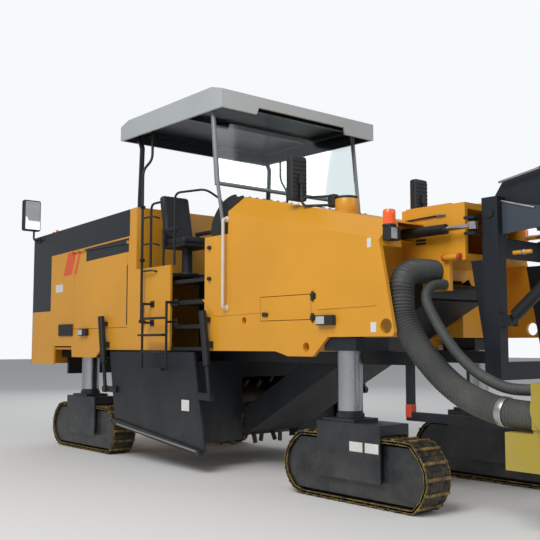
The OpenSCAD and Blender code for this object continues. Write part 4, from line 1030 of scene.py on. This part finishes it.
def wall_plate(corners, inner, outer):
    """A flat plate with the corners given by X and Z, between two distances from the middle."""
    shape = bmesh.new()
    near = [shape.verts.new(at(x, inner, z)) for x, z in corners]
    far = [shape.verts.new(at(x, outer, z)) for x, z in corners]
    count = len(corners)
    for i in range(count):
        n = (i + 1) % count
        shape.faces.new((near[i], near[n], far[n], far[i]))
    shape.faces.new(near)
    shape.faces.new(far[::-1])
    bmesh.ops.recalc_face_normals(shape, faces=shape.faces)
    mesh = bpy.data.meshes.new("panel")
    shape.to_mesh(mesh)
    shape.free()
    piece = bpy.data.objects.new("panel", mesh)
    bpy.context.scene.collection.objects.link(piece)
    apply_all(eased(piece, 0.003))
    return piece


PANEL = [(1.40, 2.50), (1.80, 2.53), (1.80, 2.72), (1.40, 2.80)]
panels = [wall_plate(PANEL, side * (BOOM_WALL - 0.004), side * (BOOM_WALL + 0.008)) for side in SIDES]
give(joined("boom_panels", panels), panel_grey, "conveyor")
CHEEK = [(1.05, 2.285), (1.25, 2.285), (1.25, 1.32), (1.18, 1.50)]
cheeks = [wall_plate(CHEEK, side * 0.45, side * 0.462) for side in SIDES]
give(joined("console_cheeks", cheeks), navy_paint, "console")
boom_bright = [on_boom("pipe", side, a, b, 0.011, 0.008) for side in SIDES
               for a, b in (((1.384, 2.985), (1.811, 3.053)), ((1.357, 2.822), (1.749, 2.706)))]
boom_bright += [on_boom("clamp", side, (1.62, 2.32), (1.65, 2.32), 0.026, 0.02, 20, 0.003) for side in SIDES]
give(joined("boom_bright", boom_bright), bright_steel, "conveyor")
boom_bars = [on_boom("bar", side, (1.53, 2.32), (1.715, 2.32), 0.019, 0.02, 20, 0.003) for side in SIDES]
give(joined("boom_bars", boom_bars), yellow_paint, "conveyor")
print("boom fittings", len(boom_bright) + len(boom_bars) + 2)

# %% [markdown]
# The yokes over the front tracks carry blank plates, and each side plate has a bright wear strip along its lower edge.

# %% Plates on the yokes and strips on the side plates
YOKE_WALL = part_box("leg_fr")[0][1]
for side, body in zip(SIDES, ("front_track_r", "front_track_l")):
    wall = abs(YOKE_WALL)
    white = [plate_on(side, low_x, low_x + 0.17, 0.50, 0.59, 0.003, wall) for low_x in (0.18, 0.38)]
    give(joined("yoke_plates" + body[-2:], white), label_white, body)
PLATE_WALL = 1.2495
SKID_OUT = 0.035
for side, body in zip(SIDES, ("plate_right", "plate_left")):
    skid_y = side * (PLATE_WALL + SKID_OUT)
    strip = pipe("wear_strip" + body[5:8], [at(-4.10, skid_y, 0.452), at(-2.25, skid_y, 0.264)], 0.012, 0.03, 8)
    give(strip, bright_steel, body)
    tag = plate_on(side, -2.62, -2.46, 0.712, 0.842, 0.003, PLATE_WALL)
    tag.name = "plate_label" + body[5:8]
    give(tag, label_white, body)

# %% [markdown]
# The seats have thick cushions with round edges on a pedestal. A steel band clamps the dust
# hose, and a red collar sits on the guard's post below it.

# %% Seats, hose clamp and collar
seat_low, seat_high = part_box("seats")
SEAT_X = seat_high[0] - 0.26
SEAT_Y = seat_high[1] - 0.29
cushions, frames = [], []
for side in SIDES:
    y = side * SEAT_Y
    foot = seat_low[2]
    frames.append(rod("pedestal", (SEAT_X, y, foot), (SEAT_X, y, foot + 0.37), 0.07, 28))
    frames.append(rod("foot", (SEAT_X, y, foot), (SEAT_X, y, foot + 0.03), 0.16, 36, 0.006))
    frames.append(block("tray", (SEAT_X - 0.24, y - 0.23, foot + 0.36),
                        (SEAT_X + 0.25, y + 0.23, foot + 0.405), 0.01))
    cushions.append(block("cushion", (SEAT_X - 0.235, y - 0.235, foot + 0.395),
                          (SEAT_X + 0.255, y + 0.235, foot + 0.495), 0.04, 4))
    back = block("back", (-0.055, -0.215, 0), (0.055, 0.215, 0.62), 0.045, 4)
    back.rotation_euler = (0, math.radians(-12), 0)
    back.location = (SEAT_X - 0.2, y, foot + 0.48)
    apply_all(back)
    cushions.append(back)
    for rest_y in (y - 0.265, y + 0.265):
        cushions.append(block("arm", (SEAT_X - 0.18, rest_y - 0.028, foot + 0.56),
                              (SEAT_X + 0.17, rest_y + 0.028, foot + 0.615), 0.02, 3))
        frames.append(block("arm_post", (SEAT_X - 0.17, rest_y - 0.02, foot + 0.38),
                            (SEAT_X - 0.12, rest_y + 0.02, foot + 0.58), 0.005))
give(joined("seat_cushions", cushions), seat_vinyl, replaces=["seats"])
give(joined("seat_frames", frames), black_plastic, replaces=["seats"])
band = rod("hose_band", at(1.735, -1.01, 0.954), at(1.80, -1.01, 0.947), 0.125, 40, 0.004)
give(band, bright_steel)
collar = block("guard_collar", at(0.452, -0.737, 0.80), at(0.527, -0.653, 0.93), 0.012, 3)
give(collar, red_paint)
print("cushions", len(cushions), "seat frame parts", len(frames))
